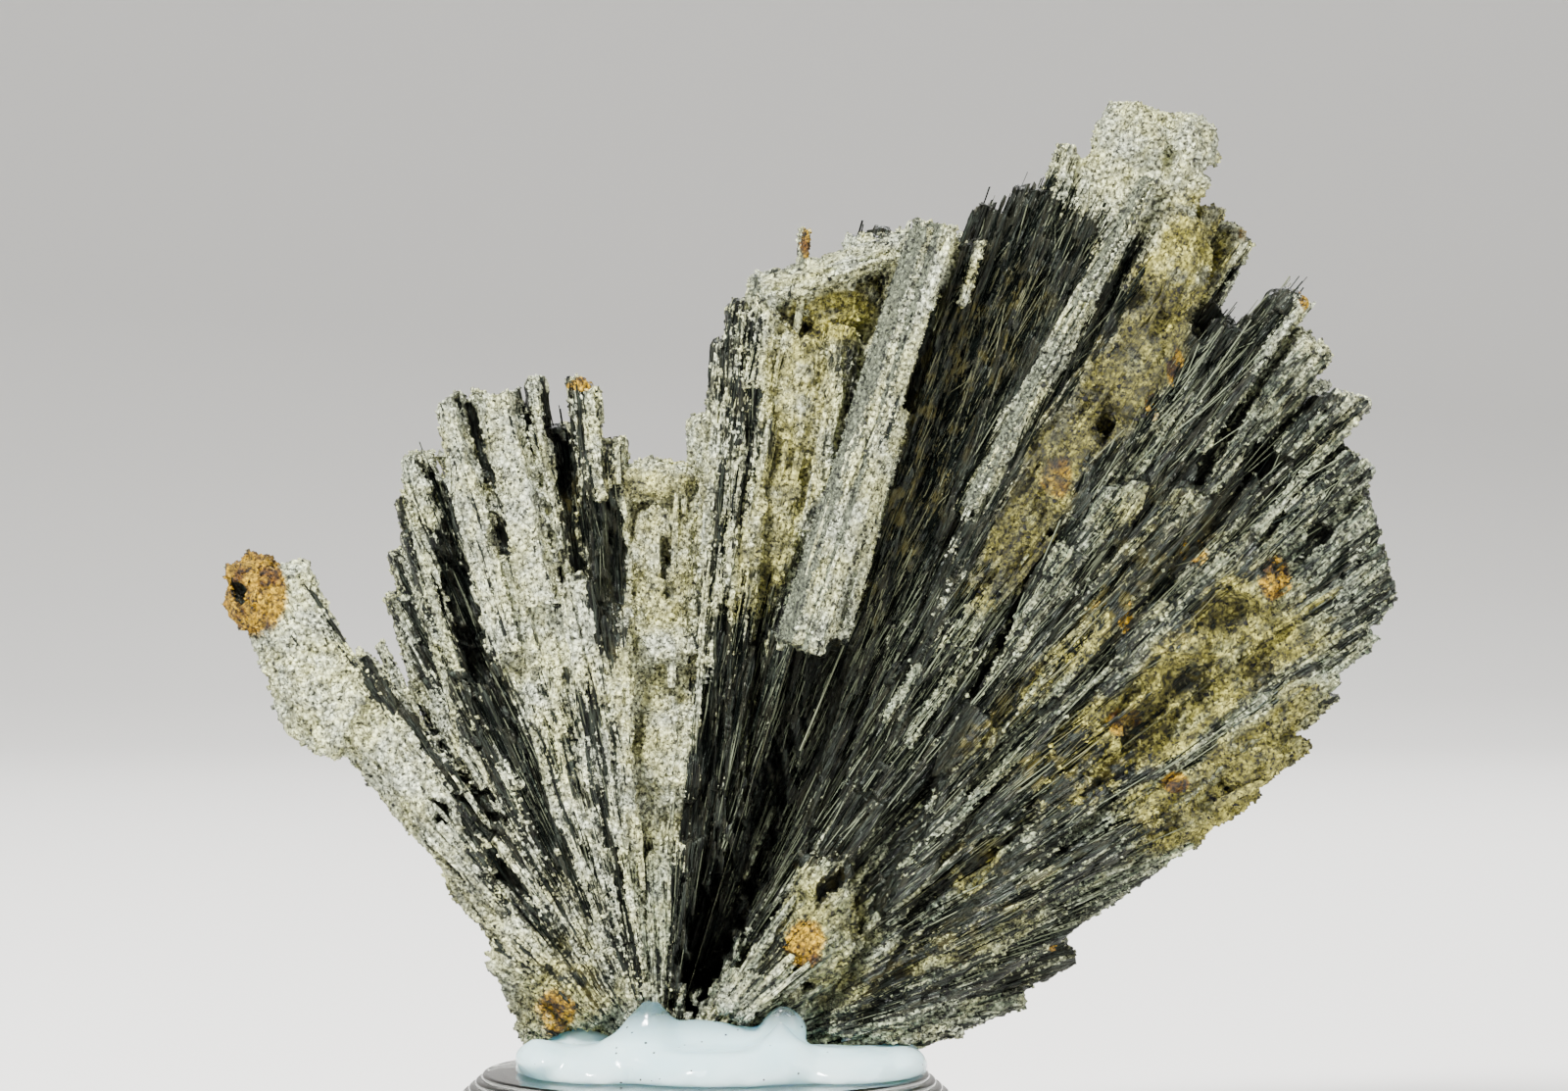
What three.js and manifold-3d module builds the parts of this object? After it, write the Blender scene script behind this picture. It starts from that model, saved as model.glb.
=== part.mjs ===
// A fan-shaped spray of stibnite blades with a stibiconite crust. Its foot is set in a mound of white adhesive
// on a round clear base. Millimetres, +Z up, the front towards -Y, origin at the middle of the base's underside.
import * as THREE from "three";
import { ConvexGeometry } from "three/addons/geometries/ConvexGeometry.js";
import { mergeVertices } from "three/addons/utils/BufferGeometryUtils.js";
import Module from "manifold-3d";

const wasm = await Module();
wasm.setup();

// Driving dimensions.
const BASE_RADIUS = 16;
const BASE_HEIGHT = 8.25;
const BASE_EDGE = 1.3;
const BASE_GROOVE = 0.5;
const BASE_SEGMENTS = 40;
const GAP = 0.3;
const FOOT_Z = 9.5;
const FOOT_WIDTH = 0.9;
const LEFT_FOOT = [-10.4, -1.2];
const RIGHT_FOOT = [-0.4, 12.0];
const LEFT_BACK_BLADES = 7;
const RIGHT_BACK_BLADES = 15;
const LUMP_POINTS = 13;
const MERGE_DISTANCE = 1e-4;
const SEED = 11;

THREE.MathUtils.seededRandom(SEED);
const random = (low, high) => low + (high - low) * THREE.MathUtils.seededRandom();

// The rim of each fan, from left to right: x, z, and how far front and back its solid core reaches in y.
const LEFT_RIM = [
  [-19.4, 37.0, -0.6, 3.2],
  [-19.0, 44.5, -0.8, 4.0],
  [-17.0, 50.0, -1.4, 4.6],
  [-11.8, 50.6, -1.4, 5.0],
  [-8.2, 49.6, 0.6, 5.4],
  [-5.4, 46.6, 1.4, 6.0],
  [0.4, 46.6, 1.4, 6.0],
];
const RIGHT_RIM = [
  [0.6, 48.0, 0.2, 5.0],
  [2.6, 56.4, 0.2, 5.0],
  [12.0, 60.6, 1.2, 6.0],
  [18.0, 62.4, 0.8, 7.0],
  [23.6, 65.5, 0.0, 7.0],
  [29.5, 67.0, -1.2, 6.6],
  [32.4, 62.0, 0.0, 6.6],
  [37.4, 55.6, 0.2, 7.4],
  [40.6, 49.2, -0.4, 7.4],
  [42.4, 41.0, -0.6, 7.0],
  [39.0, 32.8, -0.4, 6.4],
  [33.0, 26.4, 0.0, 6.0],
  [25.6, 20.6, 0.6, 5.4],
  [18.6, 13.6, 1.0, 4.6],
];

// Blades of the front: the middle of the tip [x, y, z], of the foot [x, y], the width across the fan and the depth.
const LEFT_BLADES = [
  { tip: [-19.0, 2.4, 37.8], foot: [-11.0, 0.8], width: 2.4, depth: 4.4 },
  { tip: [-19.2, 1.2, 41.6], foot: [-10.8, 0.2], width: 2.4, depth: 4.4 },
  { tip: [-18.9, 0.2, 44.8], foot: [-10.6, -0.6], width: 2.4, depth: 4.2 },
  { tip: [-18.3, -0.8, 47.9], foot: [-10.2, -1.4], width: 2.4, depth: 4.0 },
  { tip: [-16.0, -2.4, 51.3], foot: [-8.4, -2.8], width: 2.9, depth: 4.2 },
  { tip: [-13.2, -2.8, 51.7], foot: [-7.0, -3.0], width: 3.8, depth: 4.2 },
  { tip: [-11.0, -1.8, 52.3], foot: [-5.8, -2.6], width: 1.5, depth: 4.0 },
  { tip: [-9.5, 0.6, 49.8], foot: [-4.8, -1.2], width: 2.2, depth: 3.4 },
  { tip: [-7.9, -0.2, 52.2], foot: [-4.2, -1.4], width: 1.8, depth: 3.6 },
  { tip: [-6.1, 0.8, 48.2], foot: [-3.4, -1.0], width: 2.0, depth: 3.2 },
  { tip: [-8.2, -3.2, 40.0], foot: [-5.2, -3.6], width: 3.2, depth: 3.0 },
  { tip: [-5.8, -2.4, 38.2], foot: [-4.2, -3.4], width: 2.0, depth: 3.0 },
  { tip: [-14.6, -3.2, 33.5], foot: [-9.2, -3.8], width: 3.4, depth: 3.2 },
  { tip: [-2.4, -1.4, 22.6], foot: [-2.4, -3.2], width: 5.0, depth: 3.6 },
];
const RIGHT_BLADES = [
  // The upright stripy column on the left.
  { tip: [0.4, 1.6, 50.0], foot: [0.0, -0.6], width: 1.6, depth: 4.2 },
  { tip: [1.3, 0.6, 54.6], foot: [0.4, -1.2], width: 1.6, depth: 4.6 },
  { tip: [2.4, -0.4, 57.0], foot: [0.9, -1.8], width: 1.6, depth: 4.8 },
  { tip: [3.7, -0.6, 57.9], foot: [1.4, -1.9], width: 1.9, depth: 4.4 },
  { tip: [8.9, -0.2, 55.6], foot: [2.4, -0.6], width: 1.8, depth: 3.6 },
  // Dark needle masses, set back between the white blade and the peak.
  { tip: [6.3, 3.0, 62.2], foot: [1.6, 1.0], width: 0.9, depth: 1.8 },
  { tip: [10.4, 3.4, 61.9], foot: [2.0, 1.0], width: 3.2, depth: 3.4 },
  { tip: [13.8, 1.8, 61.6], foot: [2.4, 0.6], width: 3.0, depth: 4.0 },
  { tip: [16.6, -2.2, 61.3], foot: [3.0, -0.6], width: 2.2, depth: 4.2 },
  { tip: [18.6, -0.8, 63.6], foot: [3.2, -0.6], width: 2.8, depth: 4.4 },
  { tip: [21.1, -0.4, 65.0], foot: [3.6, -0.8], width: 3.0, depth: 4.6 },
  { tip: [23.5, -0.8, 66.9], foot: [4.2, -1.2], width: 2.8, depth: 4.8 },
  // The body of the peak.
  { tip: [27.2, -1.8, 67.8], foot: [5.0, -1.8], width: 5.2, depth: 6.0 },
  { tip: [30.7, -1.4, 66.4], foot: [5.6, -2.0], width: 3.8, depth: 6.0 },
  { tip: [32.1, 1.0, 63.4], foot: [5.9, -0.8], width: 1.8, depth: 4.4 },
  // Behind the gap.
  { tip: [34.4, 4.2, 62.0], foot: [6.1, 1.6], width: 2.8, depth: 3.8 },
  // Jagged tips at the right of the gap, then the long broken edge.
  { tip: [30.8, -3.0, 56.0], foot: [6.4, -3.0], width: 2.8, depth: 4.2 },
  { tip: [33.3, -2.8, 56.2], foot: [6.8, -3.2], width: 2.6, depth: 4.2 },
  { tip: [35.3, -1.4, 55.8], foot: [7.0, -2.8], width: 2.6, depth: 4.6 },
  { tip: [37.2, -2.0, 58.0], foot: [7.2, -3.0], width: 2.6, depth: 5.0 },
  { tip: [38.6, -1.6, 54.8], foot: [7.4, -2.8], width: 2.9, depth: 5.8 },
  { tip: [40.2, -2.2, 51.3], foot: [7.8, -3.1], width: 3.2, depth: 5.8 },
  { tip: [41.4, -2.4, 47.6], foot: [8.2, -3.2], width: 3.2, depth: 5.8 },
  { tip: [42.3, -2.0, 44.2], foot: [8.5, -3.2], width: 3.4, depth: 5.8 },
  { tip: [43.3, -2.4, 40.6], foot: [8.8, -3.4], width: 3.9, depth: 5.8 },
  { tip: [41.4, -2.0, 36.9], foot: [9.0, -3.4], width: 3.2, depth: 5.8 },
  { tip: [39.0, -2.4, 34.2], foot: [9.2, -3.7], width: 3.0, depth: 5.8 },
  { tip: [37.0, -1.8, 32.0], foot: [9.5, -3.4], width: 2.6, depth: 5.4 },
  { tip: [37.8, -0.8, 29.9], foot: [9.7, -3.0], width: 2.4, depth: 5.2 },
  { tip: [34.8, -0.4, 27.1], foot: [10.0, -2.8], width: 2.6, depth: 5.0 },
  { tip: [31.4, -0.8, 24.7], foot: [10.2, -3.0], width: 2.8, depth: 4.8 },
  { tip: [27.2, -0.6, 22.4], foot: [10.6, -3.0], width: 2.8, depth: 4.6 },
  // The low flange, set back.
  { tip: [24.4, 1.0, 20.4], foot: [10.8, -1.0], width: 3.2, depth: 4.2 },
  { tip: [23.2, 1.6, 16.9], foot: [11.2, -0.6], width: 3.4, depth: 4.0 },
  { tip: [20.2, 1.4, 14.1], foot: [11.8, -0.4], width: 3.0, depth: 3.8 },
  { tip: [16.3, 1.0, 11.8], foot: [9.0, 0.0], width: 2.4, depth: 3.6 },
  // Short blades that end on the face, one over another.
  { tip: [23.0, -3.8, 41.6], foot: [7.4, -4.0], width: 2.8, depth: 3.2 },
  { tip: [31.0, -3.8, 45.4], foot: [8.4, -3.8], width: 2.4, depth: 3.0 },
  { tip: [17.4, -4.2, 31.4], foot: [8.2, -4.4], width: 3.0, depth: 3.2 },
  { tip: [24.2, -4.0, 27.2], foot: [9.8, -4.6], width: 3.2, depth: 3.2 },
  { tip: [17.6, -3.2, 18.6], foot: [10.2, -4.2], width: 3.6, depth: 3.6 },
  // The grey ridge beside the dark cleft.
  { tip: [10.4, -3.8, 26.4], foot: [1.2, -4.2], width: 3.0, depth: 3.2 },
];

// Blades that stand out from the face: both ends are free, so each gives its own lower end.
const PROUD_BLADES = [
  { tip: [14.6, -4.2, 62.3], end: [5.9, -4.4, 35.5], width: 3.4, depth: 5.0, endShare: 1.1 },
  { tip: [12.0, -3.0, 50.5], end: [8.0, -3.2, 35.6], width: 2.0, depth: 4.6, endShare: 1.2 },
  { tip: [28.3, -4.2, 65.2], end: [16.7, -2.6, 44.2], width: 1.6, depth: 4.2, endShare: 0.7 },
  { tip: [13.0, -0.2, 60.8], end: [3.3, -0.4, 57.8], width: 2.2, depth: 3.8, endShare: 1.1 },
];

// The stout arm on the left, in three lengths, with a smaller crystal along its upper side.
const ARM_BLADES = [
  { tip: [-27.8, -1.8, 40.2], end: [-23.9, -1.7, 31.0], width: 5.0, depth: 5.2, endShare: 1.15 },
  { tip: [-23.4, -1.7, 33.2], end: [-12.6, -1.2, 19.6], width: 5.6, depth: 5.8, endShare: 0.8 },
  { tip: [-14.6, -1.2, 24.4], end: [-9.2, -1.0, 10.4], width: 5.0, depth: 5.6, endShare: 0.85 },
  { tip: [-21.4, 0.6, 32.6], end: [-12.0, 0.4, 16.0], width: 3.2, depth: 4.8, endShare: 0.9 },
];

// Lumps of crust and ochre filling: middle, and half its size in x, y and z.
const LEFT_LUMPS = [
  { at: [-28.5, -1.8, 38.8], half: [2.2, 3.0, 2.9] },
  { at: [-23.4, -2.4, 31.4], half: [3.5, 3.2, 3.4] },
  { at: [-19.2, -1.8, 28.4], half: [2.2, 2.4, 2.8] },
  { at: [-14.2, -3.4, 24.0], half: [2.2, 1.8, 3.2] },
  { at: [-11.4, -3.6, 16.6], half: [2.6, 2.2, 3.8] },
  { at: [-7.8, -4.0, 13.8], half: [2.8, 1.9, 3.0] },
  { at: [-3.4, 1.8, 45.8], half: [3.4, 3.2, 1.7] },
  { at: [-2.6, 1.8, 39.4], half: [3.4, 2.8, 6.4] },
  { at: [-2.8, 0.4, 35.4], half: [3.2, 2.2, 1.6] },
  { at: [-2.2, -0.4, 28.2], half: [3.2, 2.6, 4.4] },
];
const RIGHT_LUMPS = [
  { at: [7.6, 1.6, 57.2], half: [4.4, 2.4, 3.4] },
  { at: [5.8, 0.2, 52.0], half: [2.8, 2.2, 5.6] },
  { at: [4.6, 0.2, 43.6], half: [2.0, 1.9, 5.4] },
  { at: [27.3, -1.0, 67.6], half: [3.3, 4.6, 2.8] },
  { at: [30.6, -0.8, 67.3], half: [2.4, 4.2, 2.5] },
  { at: [25.7, -2.2, 64.2], half: [2.2, 2.8, 3.6] },
  { at: [29.7, -3.0, 59.6], half: [2.6, 2.6, 4.8] },
  { at: [27.6, -3.2, 52.8], half: [2.8, 2.3, 5.0] },
  { at: [23.4, -3.2, 45.8], half: [2.5, 2.1, 5.0] },
  { at: [28.6, -3.8, 35.8], half: [4.6, 1.9, 3.4] },
  { at: [33.4, -3.6, 39.4], half: [4.8, 1.8, 3.6] },
  { at: [34.0, -3.0, 28.6], half: [3.6, 2.2, 2.4] },
  { at: [29.6, -2.4, 25.2], half: [3.0, 2.1, 2.0] },
  { at: [7.4, -5.0, 17.2], half: [2.8, 2.2, 3.0] },
  { at: [7.6, -5.0, 20.6], half: [2.4, 1.7, 2.4] },
  { at: [3.6, -4.4, 13.0], half: [3.2, 2.2, 2.4] },
];

// Round-bottomed hollows in the ochre part of the face.
const DIMPLES = [
  { at: [33.2, -6.4, 37.6], half: [2.7, 2.4, 1.9] },
  { at: [30.0, -6.2, 33.6], half: [1.9, 2.2, 1.7] },
  { at: [34.6, -6.0, 33.6], half: [1.8, 2.2, 1.6] },
  { at: [27.4, -6.4, 30.4], half: [2.7, 2.4, 2.2] },
];

// The adhesive: its humps, and the thin points drawn up in front of the spray.
const MOUND_HUMPS = [
  { at: [-6.4, -0.6, 8.0], half: [5.9, 8.4, 3.4], detail: 3 },
  { at: [0.6, -1.0, 8.0], half: [8.6, 9.6, 4.4], detail: 3 },
  { at: [8.4, -0.4, 8.0], half: [6.0, 8.6, 3.3], detail: 3 },
  { at: [-3.2, -6.0, 10.6], half: [2.4, 1.9, 2.6], detail: 2 },
  { at: [5.0, -6.2, 10.4], half: [1.9, 1.7, 2.8], detail: 2 },
];

// The outline of a blade's cross-section: a flattened five-sided bar, as shares of its width and depth.
const SECTION = [
  [-0.5, -0.06],
  [-0.16, -0.5],
  [0.5, -0.3],
  [0.42, 0.5],
  [-0.4, 0.46],
];

// The one solid that a closed geometry makes.
function solidOf(geometry) {
  for (const name of ["normal", "uv"]) geometry.deleteAttribute(name);
  const merged = mergeVertices(geometry, MERGE_DISTANCE);
  return new wasm.Manifold(
    new wasm.Mesh({
      numProp: 3,
      vertProperties: merged.attributes.position.array,
      triVerts: new Uint32Array(merged.index.array),
    }),
  );
}

function joined(solids) {
  return solids.reduce((sum, solid) => sum.add(solid));
}

// The outer body alone, so that no hollow is sealed inside it and no chip lies loose beside it.
function outerBody(solid) {
  return solid.decompose().reduce((best, each) => (each.volume() > best.volume() ? each : best));
}

function meshOf(solid, name, material) {
  const { vertProperties, triVerts } = solid.getMesh();
  const geometry = new THREE.BufferGeometry();
  geometry.setAttribute("position", new THREE.BufferAttribute(vertProperties, 3));
  geometry.setIndex(new THREE.BufferAttribute(triVerts, 1));
  geometry.computeVertexNormals();
  const mesh = new THREE.Mesh(geometry, material);
  mesh.name = name;
  return mesh;
}

const hull = (points) => solidOf(new ConvexGeometry(points));

// One blade with flat faces from its lower end to its broken, slanting tip.
function blade({ tip, end, width, depth, endShare }) {
  const top = new THREE.Vector3(...tip);
  const bottom = new THREE.Vector3(...end);
  const along = top.clone().sub(bottom).normalize();
  const across = new THREE.Vector3(along.z, 0, -along.x).normalize();
  const through = new THREE.Vector3().crossVectors(along, across);
  const slant = random(-0.5, 0.5) * width;
  const broken = Math.min(width, 2);
  const corner = (centre, [u, v], share, rise) =>
    centre
      .clone()
      .addScaledVector(across, u * width * share)
      .addScaledVector(through, v * depth * share)
      .addScaledVector(along, rise);
  const tipCorners = SECTION.map((p) =>
    corner(top, p, random(0.9, 1.0), p[0] * slant + random(-0.35, 0.1) * broken),
  );
  const endCorners = SECTION.map((p) => corner(bottom, p, endShare, 0));
  return hull([...tipCorners, ...endCorners]);
}

// A blade that grows from the foot of its fan, where it is narrower than at the tip.
function rootedBlade({ tip, foot, width, depth }) {
  const share = THREE.MathUtils.clamp(FOOT_WIDTH / width, 0.35, 1);
  return blade({ tip, end: [foot[0], foot[1], FOOT_Z], width, depth, endShare: share });
}

// A rough lump: the hull of points scattered on an ellipsoid.
function lump({ at, half }) {
  const turn = random(0, Math.PI);
  const goldenAngle = Math.PI * (3 - Math.sqrt(5));
  const points = Array.from({ length: LUMP_POINTS }, (_, i) => {
    const height = 1 - (2 * (i + 0.5)) / LUMP_POINTS;
    const ring = Math.sqrt(1 - height * height);
    const angle = turn + i * goldenAngle;
    const reach = random(0.9, 1.08);
    return new THREE.Vector3(
      at[0] + half[0] * reach * ring * Math.cos(angle),
      at[1] + half[1] * reach * height,
      at[2] + half[2] * reach * ring * Math.sin(angle),
    );
  });
  return hull(points);
}

function ellipsoid({ at, half, detail = 1 }, extra = 0) {
  const geometry = new THREE.IcosahedronGeometry(1, detail);
  geometry.scale(half[0] + extra, half[1] + extra, half[2] + extra);
  geometry.translate(...at);
  return solidOf(geometry);
}

// The solid heart of a fan: one wedge between each two points of its rim, from foot to near the rim.
function core(rim, [footFrom, footTo]) {
  const last = rim.length - 1;
  const wedges = rim.slice(1).map(([x, z, front, back], i) => {
    const [x0, z0, front0, back0] = rim[i];
    const footX = [i, i + 1].map((n) => THREE.MathUtils.lerp(footFrom, footTo, n / last));
    const foot = footX.flatMap((fx) => [-2.2, 4.2].map((y) => new THREE.Vector3(fx, y, FOOT_Z)));
    const share = random(0.9, 0.97);
    const out = [
      [x0, front0, z0],
      [x0, back0, z0],
      [x, front, z],
      [x, back, z],
    ].map(([px, py, pz]) => new THREE.Vector3(px * share, py, FOOT_Z + (pz - FOOT_Z) * share));
    return hull([...foot, ...out]);
  });
  return joined(wedges);
}

// The back of a fan: broad blades side by side from foot to rim, some shorter, so that their ends step.
function backBlades(rim, [footFrom, footTo], count) {
  const last = rim.length - 1;
  return Array.from({ length: count }, (_, i) => {
    const place = ((i + 0.5) / count) * last;
    const n = Math.floor(place);
    const [x, z, , back] = rim[n].map((value, k) => THREE.MathUtils.lerp(value, rim[n + 1][k], place - n));
    const footX = THREE.MathUtils.lerp(footFrom, footTo, place / last);
    const share = i % 3 === 1 ? random(0.8, 0.88) : random(0.95, 1.0);
    const tip = [x * share, back + random(-2.2, -0.8), FOOT_Z + (z - FOOT_Z) * share];
    return rootedBlade({ tip, foot: [footX, 3.0], width: random(4.4, 5.6), depth: random(6.2, 7.4) });
  });
}

// The foot of the spray that sits in the adhesive.
function rootPlug(extra) {
  const low = { x: [-6.5, 8.0], y: [-2.6, 3.6], z: 9.0 - extra };
  const high = { x: [-8.5, 9.5], y: [-3.4, 4.4], z: 14.0 };
  const corners = [low, high].flatMap(({ x, y, z }) =>
    [x[0] - extra, x[1] + extra].flatMap((px) =>
      [y[0] - extra, y[1] + extra].map((py) => new THREE.Vector3(px, py, z)),
    ),
  );
  return hull(corners);
}

function moundBody(extra) {
  const humps = joined(MOUND_HUMPS.map((hump) => ellipsoid(hump, extra)));
  return humps.trimByPlane([0, 0, 1], BASE_HEIGHT);
}

function spray() {
  const left = [
    core(LEFT_RIM, LEFT_FOOT),
    ...LEFT_BLADES.map(rootedBlade),
    ...backBlades(LEFT_RIM, LEFT_FOOT, LEFT_BACK_BLADES),
    ...ARM_BLADES.map(blade),
    ...LEFT_LUMPS.map(lump),
  ];
  const right = [
    core(RIGHT_RIM, RIGHT_FOOT),
    ...RIGHT_BLADES.map(rootedBlade),
    ...backBlades(RIGHT_RIM, RIGHT_FOOT, RIGHT_BACK_BLADES),
    ...PROUD_BLADES.map(blade),
    ...RIGHT_LUMPS.map(lump),
  ];
  const dimples = joined(DIMPLES.map((each) => ellipsoid(each)));
  const grown = joined([...left, ...right])
    .subtract(dimples)
    .subtract(moundBody(GAP))
    .trimByPlane([0, 0, 1], BASE_HEIGHT + GAP)
    .add(rootPlug(0));
  return outerBody(grown);
}

function mound() {
  return moundBody(0).subtract(rootPlug(GAP));
}

// A disc turned from clear plastic, with a rounded upper edge and two fine grooves round its side.
function base() {
  const grooves = [2.8, 5.2].flatMap((z) => [
    [BASE_RADIUS, z - BASE_GROOVE],
    [BASE_RADIUS - BASE_GROOVE, z],
    [BASE_RADIUS, z + BASE_GROOVE],
  ]);
  const shoulder = [0, 1, 2, 3].map((n) => {
    const angle = (n / 3) * (Math.PI / 2);
    return [
      BASE_RADIUS - BASE_EDGE + BASE_EDGE * Math.cos(angle),
      BASE_HEIGHT - BASE_EDGE + BASE_EDGE * Math.sin(angle),
    ];
  });
  const chamfer = 0.4;
  const foot = [[0, 0], [BASE_RADIUS - chamfer, 0], [BASE_RADIUS, chamfer]];
  const profile = [...foot, ...grooves, ...shoulder, [0, BASE_HEIGHT]];
  const geometry = new THREE.LatheGeometry(
    profile.map(([r, z]) => new THREE.Vector2(r, z)),
    BASE_SEGMENTS,
  );
  geometry.rotateX(Math.PI / 2);
  return solidOf(geometry);
}

const crystal = new THREE.MeshStandardMaterial({ color: 0xa9a898, roughness: 0.85, metalness: 0 });
const adhesive = new THREE.MeshStandardMaterial({ color: 0xe4eeee, roughness: 0.2, metalness: 0 });
const clearPlastic = new THREE.MeshStandardMaterial({
  color: 0xeef2ee,
  roughness: 0.08,
  metalness: 0,
  transparent: true,
  opacity: 0.35,
});

const specimen = new THREE.Group();
specimen.add(
  meshOf(spray(), "stibnite_spray", crystal),
  meshOf(mound(), "adhesive_mound", adhesive),
  meshOf(base(), "clear_base", clearPlastic),
);

export default specimen;
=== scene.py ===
# A fan of dark metallic stibnite needles under a pale granular crust of stibiconite, with ochre filling.
# Its foot is set in a mound of glossy white adhesive on a round clear base.
# Shapes are worked out in millimetres and turned to metres when a piece is finished.
import math

import bmesh
import bpy
import numpy as np
from mathutils import Matrix, Vector
from mathutils.bvhtree import BVHTree


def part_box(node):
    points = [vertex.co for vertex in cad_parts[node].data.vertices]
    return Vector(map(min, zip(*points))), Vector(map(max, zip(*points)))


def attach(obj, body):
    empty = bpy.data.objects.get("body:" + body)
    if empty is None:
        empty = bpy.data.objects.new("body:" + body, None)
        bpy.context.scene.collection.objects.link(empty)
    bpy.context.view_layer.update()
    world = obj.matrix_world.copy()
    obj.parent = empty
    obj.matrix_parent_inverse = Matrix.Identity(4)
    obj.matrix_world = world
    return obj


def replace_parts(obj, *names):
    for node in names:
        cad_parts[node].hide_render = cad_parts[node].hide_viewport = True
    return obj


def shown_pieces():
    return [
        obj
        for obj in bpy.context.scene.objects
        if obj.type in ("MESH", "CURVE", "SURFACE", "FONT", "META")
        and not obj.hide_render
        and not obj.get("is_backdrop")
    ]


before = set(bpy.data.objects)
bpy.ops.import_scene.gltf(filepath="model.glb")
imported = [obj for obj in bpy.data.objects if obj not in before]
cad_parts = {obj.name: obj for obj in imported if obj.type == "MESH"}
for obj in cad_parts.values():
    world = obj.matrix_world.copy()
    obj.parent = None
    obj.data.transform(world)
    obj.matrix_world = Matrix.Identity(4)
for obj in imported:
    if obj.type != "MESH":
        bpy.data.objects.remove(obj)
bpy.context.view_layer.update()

MM = 0.001
SEED = 7

# The crystals spread from ROOT, and a lath's width is true at ARC_RADIUS from it.
ROOT_X = -2.8
ROOT_Z = 8.0
ARC_RADIUS = 32.0

LATH_WIDTH = 1.5
LATH_DEPTH = 2.2
LATH_LENGTH = 16.0
NEEDLE_WIDTH = 0.34
NEEDLE_DEPTH = 0.8
NEEDLE_LENGTH = 5.0
GRAIN_SIZE = 0.3
LATH_STEP = 0.8
CRUST_THICKNESS = 0.22
# Places tried for each set of bars, and how many grains there are of each size.
NEEDLE_TRIES = 90000
LATH_TRIES = 9000
RIM_NEEDLE_TRIES = 9000
RIM_LATH_TRIES = 1600
COARSE_GRAINS = 22000
FINE_GRAINS = 24000
# The corners of a lath's cross-section from the back right round by the front, as shares of width and depth.
LATH_SECTION = [(0.44, 0.5), (0.5, -0.34), (0.16, -0.5), (-0.5, -0.06), (-0.42, 0.46)]

VOXEL = 0.18
# The body's pieces, and the angles from upright at which they meet.
SECTORS = [
    "spray_arm",
    "spray_left_fan",
    "spray_pocket",
    "spray_column",
    "spray_dark_fan",
    "spray_upper_fan",
    "spray_lower_fan",
    "spray_right_edge",
]
SECTOR_ANGLES = [-32, -13.6, 3.4, 17, 30.3, 42.3, 54]
# The standing crystals are in two pieces, on each side of an angle that none of them crosses.
STANDING_SIDES = ["standing_laths_left", "standing_laths_right"]
STANDING_CUT = 2

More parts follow.
